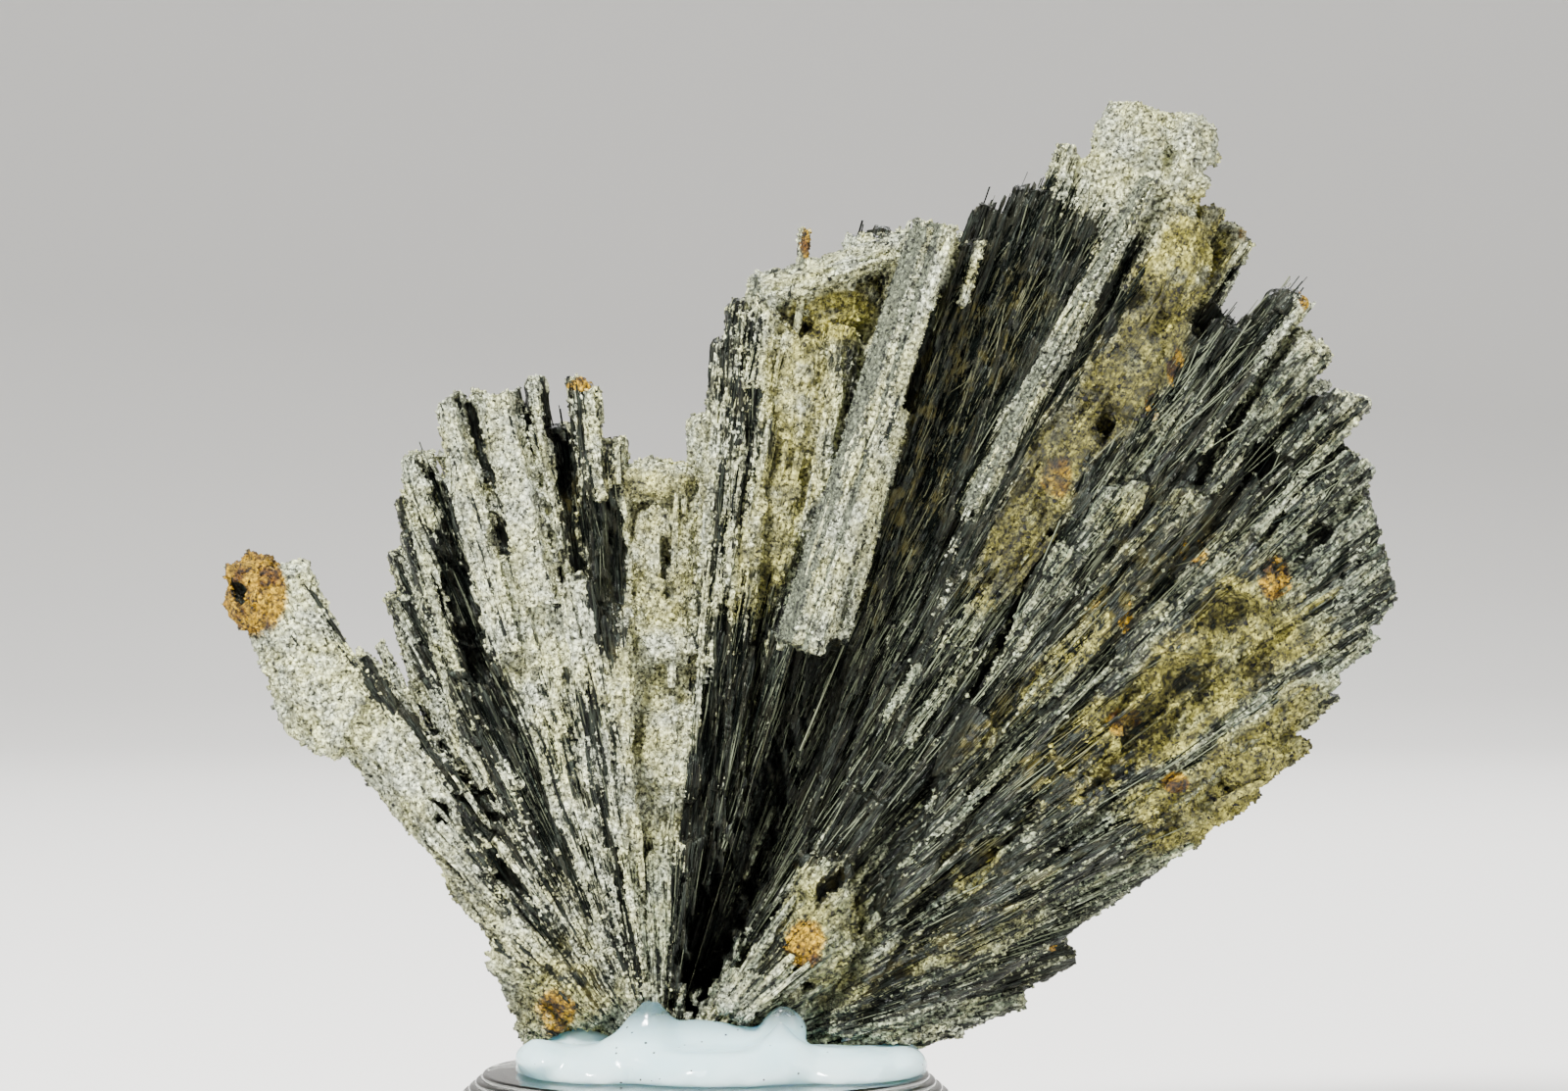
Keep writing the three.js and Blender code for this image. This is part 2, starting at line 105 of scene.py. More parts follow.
# Zones of the front and the back, in degrees from upright and millimetres from the root:
# what it is, from and to in angle, from and to in reach, and how strong.
FRONT_ZONES = [
    ("dark", 19.4, 27.8, 14, 62, 0.5),
    ("dark", 3, 22, 6, 30, 0.36),
    ("dark", 26, 33, 12, 38, 0.3),
    ("dark", 28.7, 30.6, 38, 62, 0.42),
    # Painted shadow: a dark line down the right edge of the ochre strip.
    ("dark", 35.2, 37.2, 30, 60, 0.32),
    ("dark", 24, 43, 10, 34, 0.32),
    ("dark", 36, 50, 24, 56, 0.17),
    ("dark", 38, 56, 14, 36, 0.24),
    ("dark", 42, 45, 30, 52, 0.2),
    # Painted shade: the deep gap between the ochre strip, the peak and the right fan is made dark.
    ("dark", 35.5, 39.5, 55, 64, 0.5),
    ("dark", 56, 76, 12, 36, 0.18),
    ("dark", 44, 62, 50, 62, 0.16),
    ("dark", 57, 58.6, 30, 50, 0.3),
    ("dark", -30, -24, 18, 46, 0.2),
    ("dark", -21.4, -20.4, 35, 42, 0.44),
    ("dark", -23.6, -20.8, 29, 37, 0.44),
    ("dark", -25.4, -21.8, 14, 31, 0.44),
    ("dark", -40, -8, 6, 25, 0.13),
    ("dark", -16.7, -16.0, 31, 46, 0.34),
    ("dark", -11.8, -11.2, 30, 46, 0.36),
    ("dark", -10.5, -8.7, 33, 43, 0.42),
    ("dark", -8.2, -3.8, 27, 37.4, 0.3),
    ("dark", -6.8, -4.0, 28.6, 36.4, 0.42),
    ("dark", -13.6, -13.0, 20, 34, 0.24),
    ("dark", 3.4, 8.6, 22, 50, 0.22),
    ("dark", -36, -33, 22, 36, 0.2),
    ("clean", -20.6, -11.0, 26, 46, 0.16),
    ("clean", -46, -37, 20, 44, 0.16),
    ("clean", -3.8, 5.2, 14, 42, 0.3),
    ("clean", 8.8, 13.8, 30, 52, 0.2),
    ("clean", 24.5, 32.5, 60, 72, 0.24),
    ("clean", 30.8, 35.0, 38, 64, 0.26),
    ("clean", 50, 58, 37, 50, 0.14),
    ("clean", 58.5, 66, 34, 48, 0.2),
    ("ochre", 8.8, 14.2, 29, 53, 0.6),
    ("ochre", -3.8, 4.0, 28, 38, 0.45),
    ("ochre", -7.2, 4.6, 14, 28, 0.25),
    ("ochre", -10.0, -8.2, 35, 38.5, 0.6),
    ("ochre", 30.6, 35.4, 36, 66, 0.95),
    ("ochre", 48.5, 57, 30, 50, 0.95),
    ("ochre", 58.5, 66, 34, 48, 0.95),
    ("ochre", 39, 47, 43, 50, 0.35),
    ("ochre", 41.5, 45, 28, 43, 0.75),
    ("ochre", 24.5, 32.5, 58, 72, 0.12),
    ("ochre", 60, 68, 12, 26, 0.35),
    ("ochre", 20, 26, 30, 56, 0.5),
    ("grey", 32, 80, 8, 60, 0.95),
    ("grey", 12, 34, 5, 34, 0.9),
    ("grey", -9, 4, 5, 15, 0.7),
    ("grey", -30, -21, 18, 46, 0.3),
    ("crumb", -47, -33, 22, 44, 0.9),
    ("crumb", 24.5, 32.5, 60, 72, 1.0),
    ("crumb", -3.8, 5.0, 16, 40, 0.9),
    ("crumb", -7.2, 5.0, 16, 28, 0.9),
    ("crumb", 9.4, 14, 32, 53, 0.8),
    ("crumb", 30.6, 34.8, 36, 66, 0.7),
    ("crumb", 49, 57, 34, 49, 0.85),
    ("crumb", 59, 67, 33, 48, 0.95),
    ("crumb", 47, 57, 50, 62, 0.6),
    ("calm", -20.4, -10.8, 28, 48, 0.85),
    ("calm", 49, 57, 36, 48, 0.5),
    ("calm", 24.5, 32.5, 60, 72, 0.4),
    ("dark", 30.6, 35.2, 36, 58, 0.12),
    # The next two darken ochre zones to an olive tone of their own; the two after them are painted shade over
    # the right of the fan.
    ("darker_tone_and_painted_shade", 58.5, 66, 34, 48, 0.28),
    ("darker_tone_and_painted_shade", 30.6, 35.6, 36, 60, 0.62),
    ("darker_tone_and_painted_shade", 35, 58, 36, 62, 0.14),
    ("darker_tone_and_painted_shade", 56, 80, 8, 50, 0.1),
]
BACK_ZONES = [
    ("dark", -26, -21, 18, 46, 0.25),
    ("dark", -6, 1, 10, 40, 0.3),
    ("dark", 12, 19, 12, 60, 0.35),
    ("dark", 26, 30, 16, 62, 0.3),
    ("dark", 40, 44, 10, 50, 0.3),
    ("dark", 60, 66, 10, 40, 0.25),
    ("ochre", 19, 25, 26, 58, 0.7),
    ("ochre", 46, 56, 26, 48, 0.8),
    ("ochre", -16, -10, 20, 40, 0.4),
    ("crumb", 19, 25, 26, 58, 0.7),
    ("crumb", 46, 56, 26, 48, 0.7),
    ("crumb", -47, -33, 22, 44, 0.9),
    ("crumb", 24.5, 32.5, 60, 72, 1.0),
    ("grey", 30, 80, 8, 60, 0.8),
    ("grey", -30, 4, 8, 30, 0.4),
]
# Round patches on the front: what it is, x, z, half its size in x and z, and how strong.
PATCHES = [
    ("rust", -28.6, 38.9, 2.2, 3.0, 1.0),
    ("rust", -9.4, 12.4, 1.4, 1.6, 0.8),
    ("rust", 6.4, 16.8, 1.5, 1.7, 0.8),
    ("rust", 29.7, 53.1, 0.6, 1.3, 0.9),
    ("rust", 28.2, 50.6, 0.4, 0.9, 0.9),
    ("rust", 30.8, 41.5, 1.0, 1.0, 0.8),
    ("rust", 35.9, 39.8, 1.2, 1.4, 0.9),
    ("rust", 24.6, 38.3, 1.2, 0.6, 0.7),
    ("rust", 26.5, 37.6, 0.5, 1.4, 0.8),
    ("rust", 26.6, 30.7, 1.3, 1.0, 0.75),
    ("rust", 29.7, 27.0, 0.9, 0.7, 0.8),
    ("rust", 34.4, 61.6, 0.5, 0.4, 1.0),
    ("rust", 22.2, 46.2, 1.1, 1.5, 0.7),
    # The next four are painted shade in pits that PITS also lists.
    ("darker_tone_and_painted_shade", 33.0, 37.5, 1.9, 1.4, 0.4),
    ("darker_tone_and_painted_shade", 30.5, 33.2, 1.6, 1.3, 0.4),
    ("darker_tone_and_painted_shade", 35.2, 33.7, 1.1, 1.1, 0.5),
    ("darker_tone_and_painted_shade", 28.0, 30.7, 1.9, 2.2, 0.3),
    ("calm", 33.0, 37.5, 2.0, 1.5, 0.9),
    ("calm", 30.5, 33.2, 1.7, 1.4, 0.9),
    ("calm", 28.0, 30.7, 2.0, 2.3, 0.9),
    ("rust", 18.4, 60.2, 0.4, 0.9, 0.9),
    ("rust", 37.8, 57.6, 0.5, 0.9, 0.8),
    ("rust", -7.9, 52.0, 0.7, 0.4, 1.0),
    ("rust", 6.4, 61.0, 0.5, 1.0, 0.9),
    ("rust", 22.2, 16.3, 0.4, 0.5, 0.8),
    ("ochre", 7.4, 17.4, 3.0, 4.4, 0.5),
    ("crumb", 7.4, 17.4, 3.0, 4.6, 1.0),
    ("crumb", -9.0, 14.0, 3.6, 4.0, 0.7),
    ("ochre", -9.0, 13.4, 3.0, 3.4, 0.5),
    ("clean", 7.4, 17.4, 3.0, 4.6, 0.3),
    ("ochre", 16.9, 21.6, 2.0, 1.8, 0.8),
    ("crumb", 16.9, 21.6, 2.0, 1.8, 0.8),
    ("ochre", -3.4, 45.8, 3.6, 1.6, 0.5),
    ("ochre", 7.6, 57.0, 3.6, 2.6, 0.9),
    ("clean", 7.6, 57.0, 3.6, 2.6, 0.2),
    ("crumb", 7.6, 57.0, 3.6, 2.6, 1.0),
    ("dark", 38.0, 44.6, 2.4, 2.0, 0.24),
    ("dark", 38.8, 51.4, 1.0, 1.4, 0.35),
]
# Pits on the front: x, z, half its size across and along the crystals, and how deep.
PITS = [
    (-2.5, 41.2, 0.6, 1.5, 2.4),
    (-4.7, 42.9, 0.35, 0.4, 1.2),
    (-2.4, 38.9, 0.4, 0.6, 1.4),
    (-29.6, 38.9, 0.5, 0.9, 1.4),
    (7.9, 20.5, 0.5, 1.1, 1.6),
    (0.6, 17.5, 1.3, 5.5, 3.2),
    (3.0, 23.0, 1.1, 7.0, 2.2),
    (38.8, 42.7, 0.5, 0.6, 1.4),
    (35.4, 47.2, 1.4, 1.0, 2.2),
    (38.8, 51.4, 0.4, 1.3, 1.0),
    (33.0, 37.5, 1.3, 1.8, 0.8),
    (30.5, 33.2, 1.2, 1.6, 0.8),
    (35.2, 33.7, 1.0, 1.1, 0.7),
    (28.0, 30.7, 1.7, 2.1, 0.7),
    (6.0, 55.6, 0.9, 0.7, 1.6),
    (-14.2, 25.2, 0.8, 2.2, 1.8),
    (-16.7, 25.0, 0.6, 0.9, 1.4),
    (-12.6, 21.0, 0.6, 1.4, 1.6),
    (-14.6, 48.6, 0.45, 3.6, 1.6),
    (-13.0, 42.3, 0.45, 1.2, 1.4),
    (-11.2, 49.0, 0.3, 4.0, 1.4),
    (-9.8, 42.0, 0.3, 4.0, 1.2),
    (-16.4, 43.6, 0.35, 4.0, 1.6),
    (-15.2, 38.4, 0.8, 3.6, 1.6),
    (-13.6, 32.6, 0.9, 4.0, 1.6),
    (-9.3, 47.4, 0.6, 2.4, 1.8),
    (-5.6, 40.6, 0.9, 3.6, 0.7),
    (22.9, 60.7, 0.5, 0.7, 1.0),
    (29.4, 24.3, 1.0, 0.6, 0.8),
    (33.0, 26.5, 0.8, 0.4, 0.8),
]
# Crystals that stand out of the front: the x, y and z of tip and foot, then width and depth.
# Where y is None the crystal lies on the body's face.
CRYSTALS = [
    (14.55, -4.4, 62.4, 5.85, -4.6, 35.3, 3.4, 5.3),
    (12.0, -3.2, 50.5, 8.4, -3.6, 36.6, 1.9, 4.8),
    (28.3, -4.5, 65.3, 16.7, -3.0, 44.2, 1.3, 3.4),
    (13.0, -0.4, 60.9, 3.3, -0.6, 57.8, 2.3, 4.0),
    (6.5, -0.8, 62.1, 6.1, -0.6, 58.6, 0.8, 0.9),
    (17.1, None, 61.2, 15.8, None, 57.0, 1.7, 1.6),
    (13.8, None, 34.5, 11.2, None, 30.5, 1.1, 1.0),
    (16.9, None, 35.6, 12.6, None, 29.2, 1.2, 1.1),
    (7.0, None, 31.5, 5.4, None, 27.2, 0.7, 0.7),
    (15.7, None, 39.3, 14.4, None, 37.3, 0.7, 0.6),
    (31.4, None, 55.6, 22.9, None, 43.6, 2.0, 1.3),
    (33.3, None, 55.9, 26.8, None, 46.6, 1.6, 1.2),
    (37.6, None, 57.6, 31.0, None, 47.8, 1.5, 1.4),
    (39.3, None, 54.8, 32.5, None, 46.0, 1.2, 1.0),
    (41.2, None, 50.2, 34.5, None, 42.6, 1.1, 1.0),
    (35.6, None, 42.9, 24.8, None, 33.6, 0.9, 0.8),
    (33.2, None, 40.9, 22.0, None, 31.2, 0.8, 0.7),
    (42.3, None, 36.4, 28.4, None, 24.6, 1.4, 1.2),
    (36.8, None, 33.6, 22.8, None, 22.6, 1.2, 1.0),
    (25.0, None, 38.0, 14.0, None, 25.0, 1.0, 0.9),
    (24.4, None, 33.4, 12.4, None, 21.4, 1.2, 1.0),
    (28.0, None, 29.6, 13.6, None, 18.0, 1.0, 0.9),
    (10.6, None, 26.6, 0.8, None, 12.2, 1.3, 1.2),
    (12.4, None, 24.4, 4.0, None, 13.6, 0.9, 0.9),
    (-18.4, None, 47.9, -15.2, None, 38.0, 1.1, 1.2),
    (-19.0, None, 44.6, -14.6, None, 30.0, 1.0, 1.0),
    (-19.3, None, 41.2, -13.4, None, 24.6, 1.0, 1.0),
    (-16.2, -4.0, 51.4, -12.4, -4.4, 35.0, 2.1, 1.8),
    (-13.0, -4.0, 51.6, -10.2, -4.6, 38.0, 2.9, 1.8),
    (-10.9, -3.6, 52.3, -9.2, -3.9, 41.5, 1.0, 1.5),
    (-7.7, None, 51.9, -6.9, None, 44.5, 1.6, 1.6),
    (-5.6, None, 47.4, -5.2, None, 43.5, 0.8, 0.9),
    (-4.6, None, 47.0, -4.5, None, 44.2, 1.3, 1.2),
    (-17.2, None, 31.4, -9.6, None, 16.4, 1.0, 1.0),
    (-21.0, None, 35.6, -13.4, None, 21.0, 1.1, 1.1),
    (0.8, None, 53.3, -0.6, None, 30.0, 0.8, 0.8),
    (2.3, None, 56.7, 0.4, None, 33.0, 0.9, 0.9),
    (3.9, None, 57.9, 1.5, None, 36.0, 0.8, 0.8),
    (22.0, None, 16.6, 6.0, None, 11.6, 1.0, 0.9),
    (-9.6, None, 20.0, -6.0, None, 11.2, 0.9, 0.8),
    (-11.6, None, 14.6, -8.2, None, 10.0, 0.9, 0.8),
]
# The first rows of the crystals stand clear of the body.
PROUD_COUNT = 5
# Rows of short crusted bars along broken edges: x and z from and to, y, how many and how tall.
COMBS = [
    (7.5, 59.0, 13.2, 60.9, 0.8, 26, 2.0),
    (16.2, 61.2, 20.4, 63.4, -2.0, 22, 2.0),
    (1.6, 55.6, 4.0, 57.8, -0.5, 14, 1.0),
    (33.4, 60.4, 34.8, 60.2, 0.5, 6, 1.0),
    (37.0, 56.6, 38.4, 56.4, -0.5, 8, 1.2),
    (-7.2, 46.0, -5.4, 46.8, -0.6, 8, 1.4),
    (-19.2, 43.8, -18.2, 46.8, -1.4, 8, 1.2),
]
# Small round balls of crust: x, z and radius.
BALLS = [
    (-11.7, 26.8, 0.55),
    (-15.6, 27.4, 0.4),
    (-21.8, 35.2, 0.5),
    (-20.6, 33.8, 0.4),
    (-12.9, 24.4, 0.4),
    (-16.9, 29.6, 0.45),
    (-9.4, 22.6, 0.4),
]
# Rounded lobes of the adhesive: middle, then half sizes.
ADHESIVE_LOBES = [
    (-4.0, -5.6, 9.4, 3.6, 2.6, 1.5),
    (-0.4, -6.0, 9.0, 4.0, 2.6, 1.5),
    (4.8, -6.4, 9.0, 3.2, 2.4, 1.3),
    (5.0, -5.2, 11.1, 1.5, 1.4, 1.4),
    (-3.4, -5.2, 10.2, 2.2, 1.6, 1.6),
    (0.0, -5.0, 10.2, 2.8, 1.4, 1.3),
    (2.6, -5.2, 10.1, 2.2, 1.4, 1.2),
    (-3.0, -7.4, 9.3, 2.8, 1.3, 0.8),
    (-10.0, -4.4, 9.4, 2.1, 3.4, 1.1),
    (-8.0, -5.0, 9.2, 1.8, 2.8, 1.0),
    (-8.0, -1.8, 9.9, 2.4, 2.6, 1.4),
    (9.4, -5.0, 9.2, 3.6, 3.0, 1.1),
    (12.2, -4.0, 9.2, 1.9, 3.0, 1.1),
    (11.2, -1.0, 9.4, 2.4, 4.0, 0.9),
]
# Peaks into which the adhesive was drawn up: x, y, height, and how wide in x and in y.
ADHESIVE_PEAKS = [
    (-3.4, -5.0, 1.5, 0.9, 1.2),
    (-4.9, -5.6, 0.4, 1.6, 1.4),
    (-0.9, -4.6, 0.4, 1.7, 1.1),
    (1.6, -4.4, 0.4, 1.2, 0.9),
    (4.8, -7.0, 1.7, 0.9, 0.9),
    (-10.8, -5.2, 0.4, 1.0, 0.8),
]
KINDS = ("dark", "clean", "ochre", "rust", "grey", "crumb", "calm", "darker_tone_and_painted_shade")


def smooth_step(low, high, value):
    t = np.clip((value - low) / (high - low), 0, 1)
    return t * t * (3 - 2 * t)


def band(value, low, high, blur):
    return smooth_step(low - blur, low + blur, value) * (1 - smooth_step(high - blur, high + blur, value))


def fan_of(points):
    """The angle from upright in degrees and the reach from the root of points in millimetres."""
    dx = points[:, 0] - ROOT_X
    dz = points[:, 2] - ROOT_Z
    return np.degrees(np.arctan2(dx, dz)), np.hypot(dx, dz)


def pit_depth(points):
    """How deep each point of the front lies in a pit."""
    depth = np.zeros(len(points))
    for x, z, across, along, deep in PITS:
        turn = math.atan2(x - ROOT_X, z - ROOT_Z)
        dx = points[:, 0] - x
        dz = points[:, 2] - z
        u = dx * math.cos(turn) - dz * math.sin(turn)
        v = dx * math.sin(turn) + dz * math.cos(turn)
        off = np.hypot(u / across, v / along) * (1 + 0.25 * np.sin(3.1 * v + 5.0 * u + x))
        depth = np.maximum(depth, deep * (1 - smooth_step(0.4, 1.25, off)))
    return depth * (1 - smooth_step(-1.0, 1.5, points[:, 1]))


def on_proud(points):
    """How much each point belongs to a crystal that stands clear of the body."""
    share = np.zeros(len(points))
    for x0, y0, z0, x1, y1, z1, width, depth in CRYSTALS[:PROUD_COUNT]:
        length = math.hypot(x0 - x1, z0 - z1)
        ux = (x0 - x1) / length
        uz = (z0 - z1) / length
        dx = points[:, 0] - x1
        dz = points[:, 2] - z1
        along = dx * ux + dz * uz
        across = dx * uz - dz * ux
        front = y1 + (y0 - y1) * along / length + 0.25 * depth
        within_width = band(across, -0.5 * width - 0.2, 0.5 * width + 0.2, 0.15)
        inside = within_width * band(along, -0.5, length + 0.5, 0.2)
        share = np.maximum(share, inside * (1 - smooth_step(-0.3, 0.3, points[:, 1] - front)))
    return share


def zone_weights(points):
    """How much each point belongs to each kind of zone."""
    angle, reach = fan_of(points)
    angle = angle + 0.5 * np.sin(reach * 0.42 + 1.0) + 0.3 * np.sin(reach * 1.1)
    back = smooth_step(2.0, 4.5, points[:, 1])
    weights = {kind: np.zeros(len(points)) for kind in KINDS}
    for zones, share in ((FRONT_ZONES, 1 - back), (BACK_ZONES, back)):
        for kind, angle0, angle1, reach0, reach1, strength in zones:
            here = band(angle, angle0, angle1, 0.7) * band(reach, reach0, reach1, 2.0) * strength * share
            weights[kind] = np.maximum(weights[kind], here)
    for kind, x, z, half_x, half_z, strength in PATCHES:
        off = np.hypot((points[:, 0] - x) / half_x, (points[:, 2] - z) / half_z)
        here = (1 - smooth_step(0.6, 1.4, off)) * strength * (1 - back)
        weights[kind] = np.maximum(weights[kind], here)
    weights["dark"] = np.clip(0.36 + weights["dark"] - weights.pop("clean"), 0, 1)
    proud = on_proud(points)
    for kind in ("ochre", "grey", "crumb"):
        weights[kind] *= 1 - 0.85 * proud
    weights["dark"] += (0.27 - weights["dark"]) * proud
    weights["calm"] = np.maximum(weights["calm"], 0.8 * proud)
    return weights


def points_of(mesh):
    flat = np.empty(len(mesh.vertices) * 3)
    mesh.vertices.foreach_get("co", flat)
    return flat.reshape(-1, 3)


def write_attribute(mesh, name, values):
    layer = mesh.attributes.get(name) or mesh.attributes.new(name, "FLOAT", "POINT")
    layer.data.foreach_set("value", np.asarray(values, np.float32))


def read_attribute(mesh, name):
    values = np.empty(len(mesh.vertices), np.float32)
    mesh.attributes[name].data.foreach_get("value", values)
    return values


def new_object(name, mesh):
    piece = bpy.data.objects.new(name, mesh)
    bpy.context.scene.collection.objects.link(piece)
    return piece


def applied(piece):
    """Makes a piece's modifiers part of its mesh."""
    graph = bpy.context.evaluated_depsgraph_get()
    mesh = bpy.data.meshes.new_from_object(
        piece.evaluated_get(graph), preserve_all_data_layers=True, depsgraph=graph
    )
    piece.modifiers.clear()
    piece.data = mesh
    return piece


def remeshed(piece, voxel):
    modifier = piece.modifiers.new("remesh", "REMESH")
    modifier.mode = "VOXEL"
    modifier.voxel_size = voxel
    modifier.use_smooth_shade = True
    return applied(piece)


def finish_piece(piece, material, body="root"):
    """Turns a piece from millimetres to metres and gives it its material, slot and body."""
    piece.data.transform(((MM, 0, 0, 0), (0, MM, 0, 0), (0, 0, MM, 0), (0, 0, 0, 1)))
    piece.data.materials.clear()
    piece.data.materials.append(material)
    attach(piece, body)
    return piece


# Nodes and colours.
def add(tree, kind, values=(), **settings):
    """Adds a node with its settings, and links or sets its inputs."""
    node = tree.nodes.new(kind)
    for name, value in settings.items():
        setattr(node, name, value)
    for key, value in values.items() if isinstance(values, dict) else enumerate(values):
        if isinstance(value, bpy.types.Node):
            value = value.outputs[0]
        if isinstance(value, bpy.types.NodeSocket):
            tree.links.new(value, node.inputs[key])
        elif value is not None:
            node.inputs[key].default_value = value
    return node


def linear(hex_colour):
    """A linear colour from an sRGB hex value."""
    parts = [int(hex_colour[i : i + 2], 16) / 255 for i in (1, 3, 5)]
    return [p / 12.92 if p <= 0.04045 else ((p + 0.055) / 1.055) ** 2.4 for p in parts] + [1.0]


def zone(tree, name):
    """A stored zone weight, in a material or in geometry nodes."""
    if tree.bl_idname == "GeometryNodeTree":
        stored = add(tree, "GeometryNodeInputNamedAttribute", {"Name": name}, data_type="FLOAT")
        return stored.outputs["Attribute"]
    return add(tree, "ShaderNodeAttribute", attribute_name=name).outputs["Fac"]


def crystal_pattern(tree, mm):
    """The run of the crystals over a surface, the same for its relief as for its colour."""
    place = add(tree, "ShaderNodeSeparateXYZ", [mm])
    dx = add(tree, "ShaderNodeMath", [place.outputs[0], ROOT_X], operation="SUBTRACT")
    dz = add(tree, "ShaderNodeMath", [place.outputs[2], ROOT_Z], operation="SUBTRACT")
    angle = add(tree, "ShaderNodeMath", [dx, dz], operation="ARCTAN2")
    flat = add(tree, "ShaderNodeCombineXYZ", [dx, 0.0, dz])
    reach = add(tree, "ShaderNodeVectorMath", [flat], operation="LENGTH").outputs["Value"]
    across = add(tree, "ShaderNodeMath", [angle, ARC_RADIUS], operation="MULTIPLY")
    slow = add(tree, "ShaderNodeTexNoise", {"Vector": mm, "Scale": 0.16, "Detail": 1.0})
    sway = add(tree, "ShaderNodeMath", [slow.outputs[0], 1.6, across], operation="MULTIPLY_ADD")
    broad = add(tree, "ShaderNodeCombineXYZ", [sway, place.outputs[1], reach])
    lath_scale = (1 / LATH_WIDTH, 1 / LATH_DEPTH, 1 / LATH_LENGTH)
    lath_place = add(tree, "ShaderNodeVectorMath", [broad, lath_scale], operation="MULTIPLY")
    lath = add(tree, "ShaderNodeTexVoronoi", {"Vector": lath_place, "Scale": 1.0})
    lath_random = add(tree, "ShaderNodeSeparateXYZ", [lath.outputs["Color"]])
    edge = add(tree, "ShaderNodeTexVoronoi", {"Vector": lath_place, "Scale": 1.0}, feature="DISTANCE_TO_EDGE")
    # Needles keep about one width at every reach, so they start anew further out, each lath at its own place.
    ring = add(tree, "ShaderNodeMath", [lath_random.outputs[2], 14.0, reach], operation="MULTIPLY_ADD")
    arc = add(tree, "ShaderNodeMapRange", [ring, 14.0, 78.0, 12.0, 66.0, 5.0], interpolation_type="STEPPED")
    thin_across = add(tree, "ShaderNodeMath", [angle, arc], operation="MULTIPLY")
    fan = add(tree, "ShaderNodeCombineXYZ", [thin_across, place.outputs[1], reach])
    needle_scale = (1 / NEEDLE_WIDTH, 1 / NEEDLE_DEPTH, 1 / NEEDLE_LENGTH)
    needle_place = add(tree, "ShaderNodeVectorMath", [fan, needle_scale], operation="MULTIPLY")
    needle = add(tree, "ShaderNodeTexVoronoi", {"Vector": needle_place, "Scale": 1.0})
    needle_random = add(tree, "ShaderNodeSeparateXYZ", [needle.outputs["Color"]])
    streak_place = add(tree, "ShaderNodeVectorMath", [fan, (4.2, 1.6, 0.28)], operation="MULTIPLY")
    streak = add(tree, "ShaderNodeTexNoise", {"Vector": streak_place, "Scale": 1.0, "Detail": 3.0})
    patch = add(tree, "ShaderNodeTexNoise", {"Vector": mm, "Scale": 0.9, "Detail": 3.0})
    speck = add(tree, "ShaderNodeTexNoise", {"Vector": mm, "Scale": 3.4, "Detail": 2.0, "Roughness": 0.6})
    crumb = zone(tree, "crumb")
    dark = zone(tree, "dark")
    sum1 = add(tree, "ShaderNodeMath", [lath_random.outputs[0], 0.2, -0.44], operation="MULTIPLY_ADD")
    sum2 = add(tree, "ShaderNodeMath", [needle_random.outputs[0], 0.2, sum1], operation="MULTIPLY_ADD")
    sum3 = add(tree, "ShaderNodeMath", [streak.outputs[0], 0.68, sum2], operation="MULTIPLY_ADD")
    sum4 = add(tree, "ShaderNodeMath", [patch.outputs[0], 0.3, sum3], operation="MULTIPLY_ADD")
    cover = add(tree, "ShaderNodeMath", [speck.outputs[0], 0.5, sum4], operation="MULTIPLY_ADD")
    over = add(tree, "ShaderNodeMath", [cover, dark], operation="SUBTRACT")
    crust = add(tree, "ShaderNodeMapRange", [over, -0.02, 0.03], interpolation_type="SMOOTHSTEP")
    shut = add(tree, "ShaderNodeMapRange", [patch.outputs[0], 0.44, 0.56])
    crack_from = add(
        tree, "ShaderNodeMapRange", [edge.outputs[0], 0.01, 0.07], interpolation_type="SMOOTHSTEP"
    )
    crack_here = add(tree, "ShaderNodeMath", [crack_from, shut], operation="MAXIMUM")
    calm = zone(tree, "calm")
    whole = add(tree, "ShaderNodeMath", [crumb, calm], operation="MAXIMUM")
    crack = add(tree, "ShaderNodeMath", [crack_here, whole], operation="MAXIMUM")
    crust_left = add(tree, "ShaderNodeMath", [crust, crack], operation="MULTIPLY")
    return {
        "calm": calm,
        "lath": lath_random.outputs[1],
        "needle": needle_random.outputs[1],
        "streak": streak.outputs[0],
        "patch": patch.outputs[0],
        "crust": crust_left.outputs[0],
        "fan": fan.outputs[0],
    }


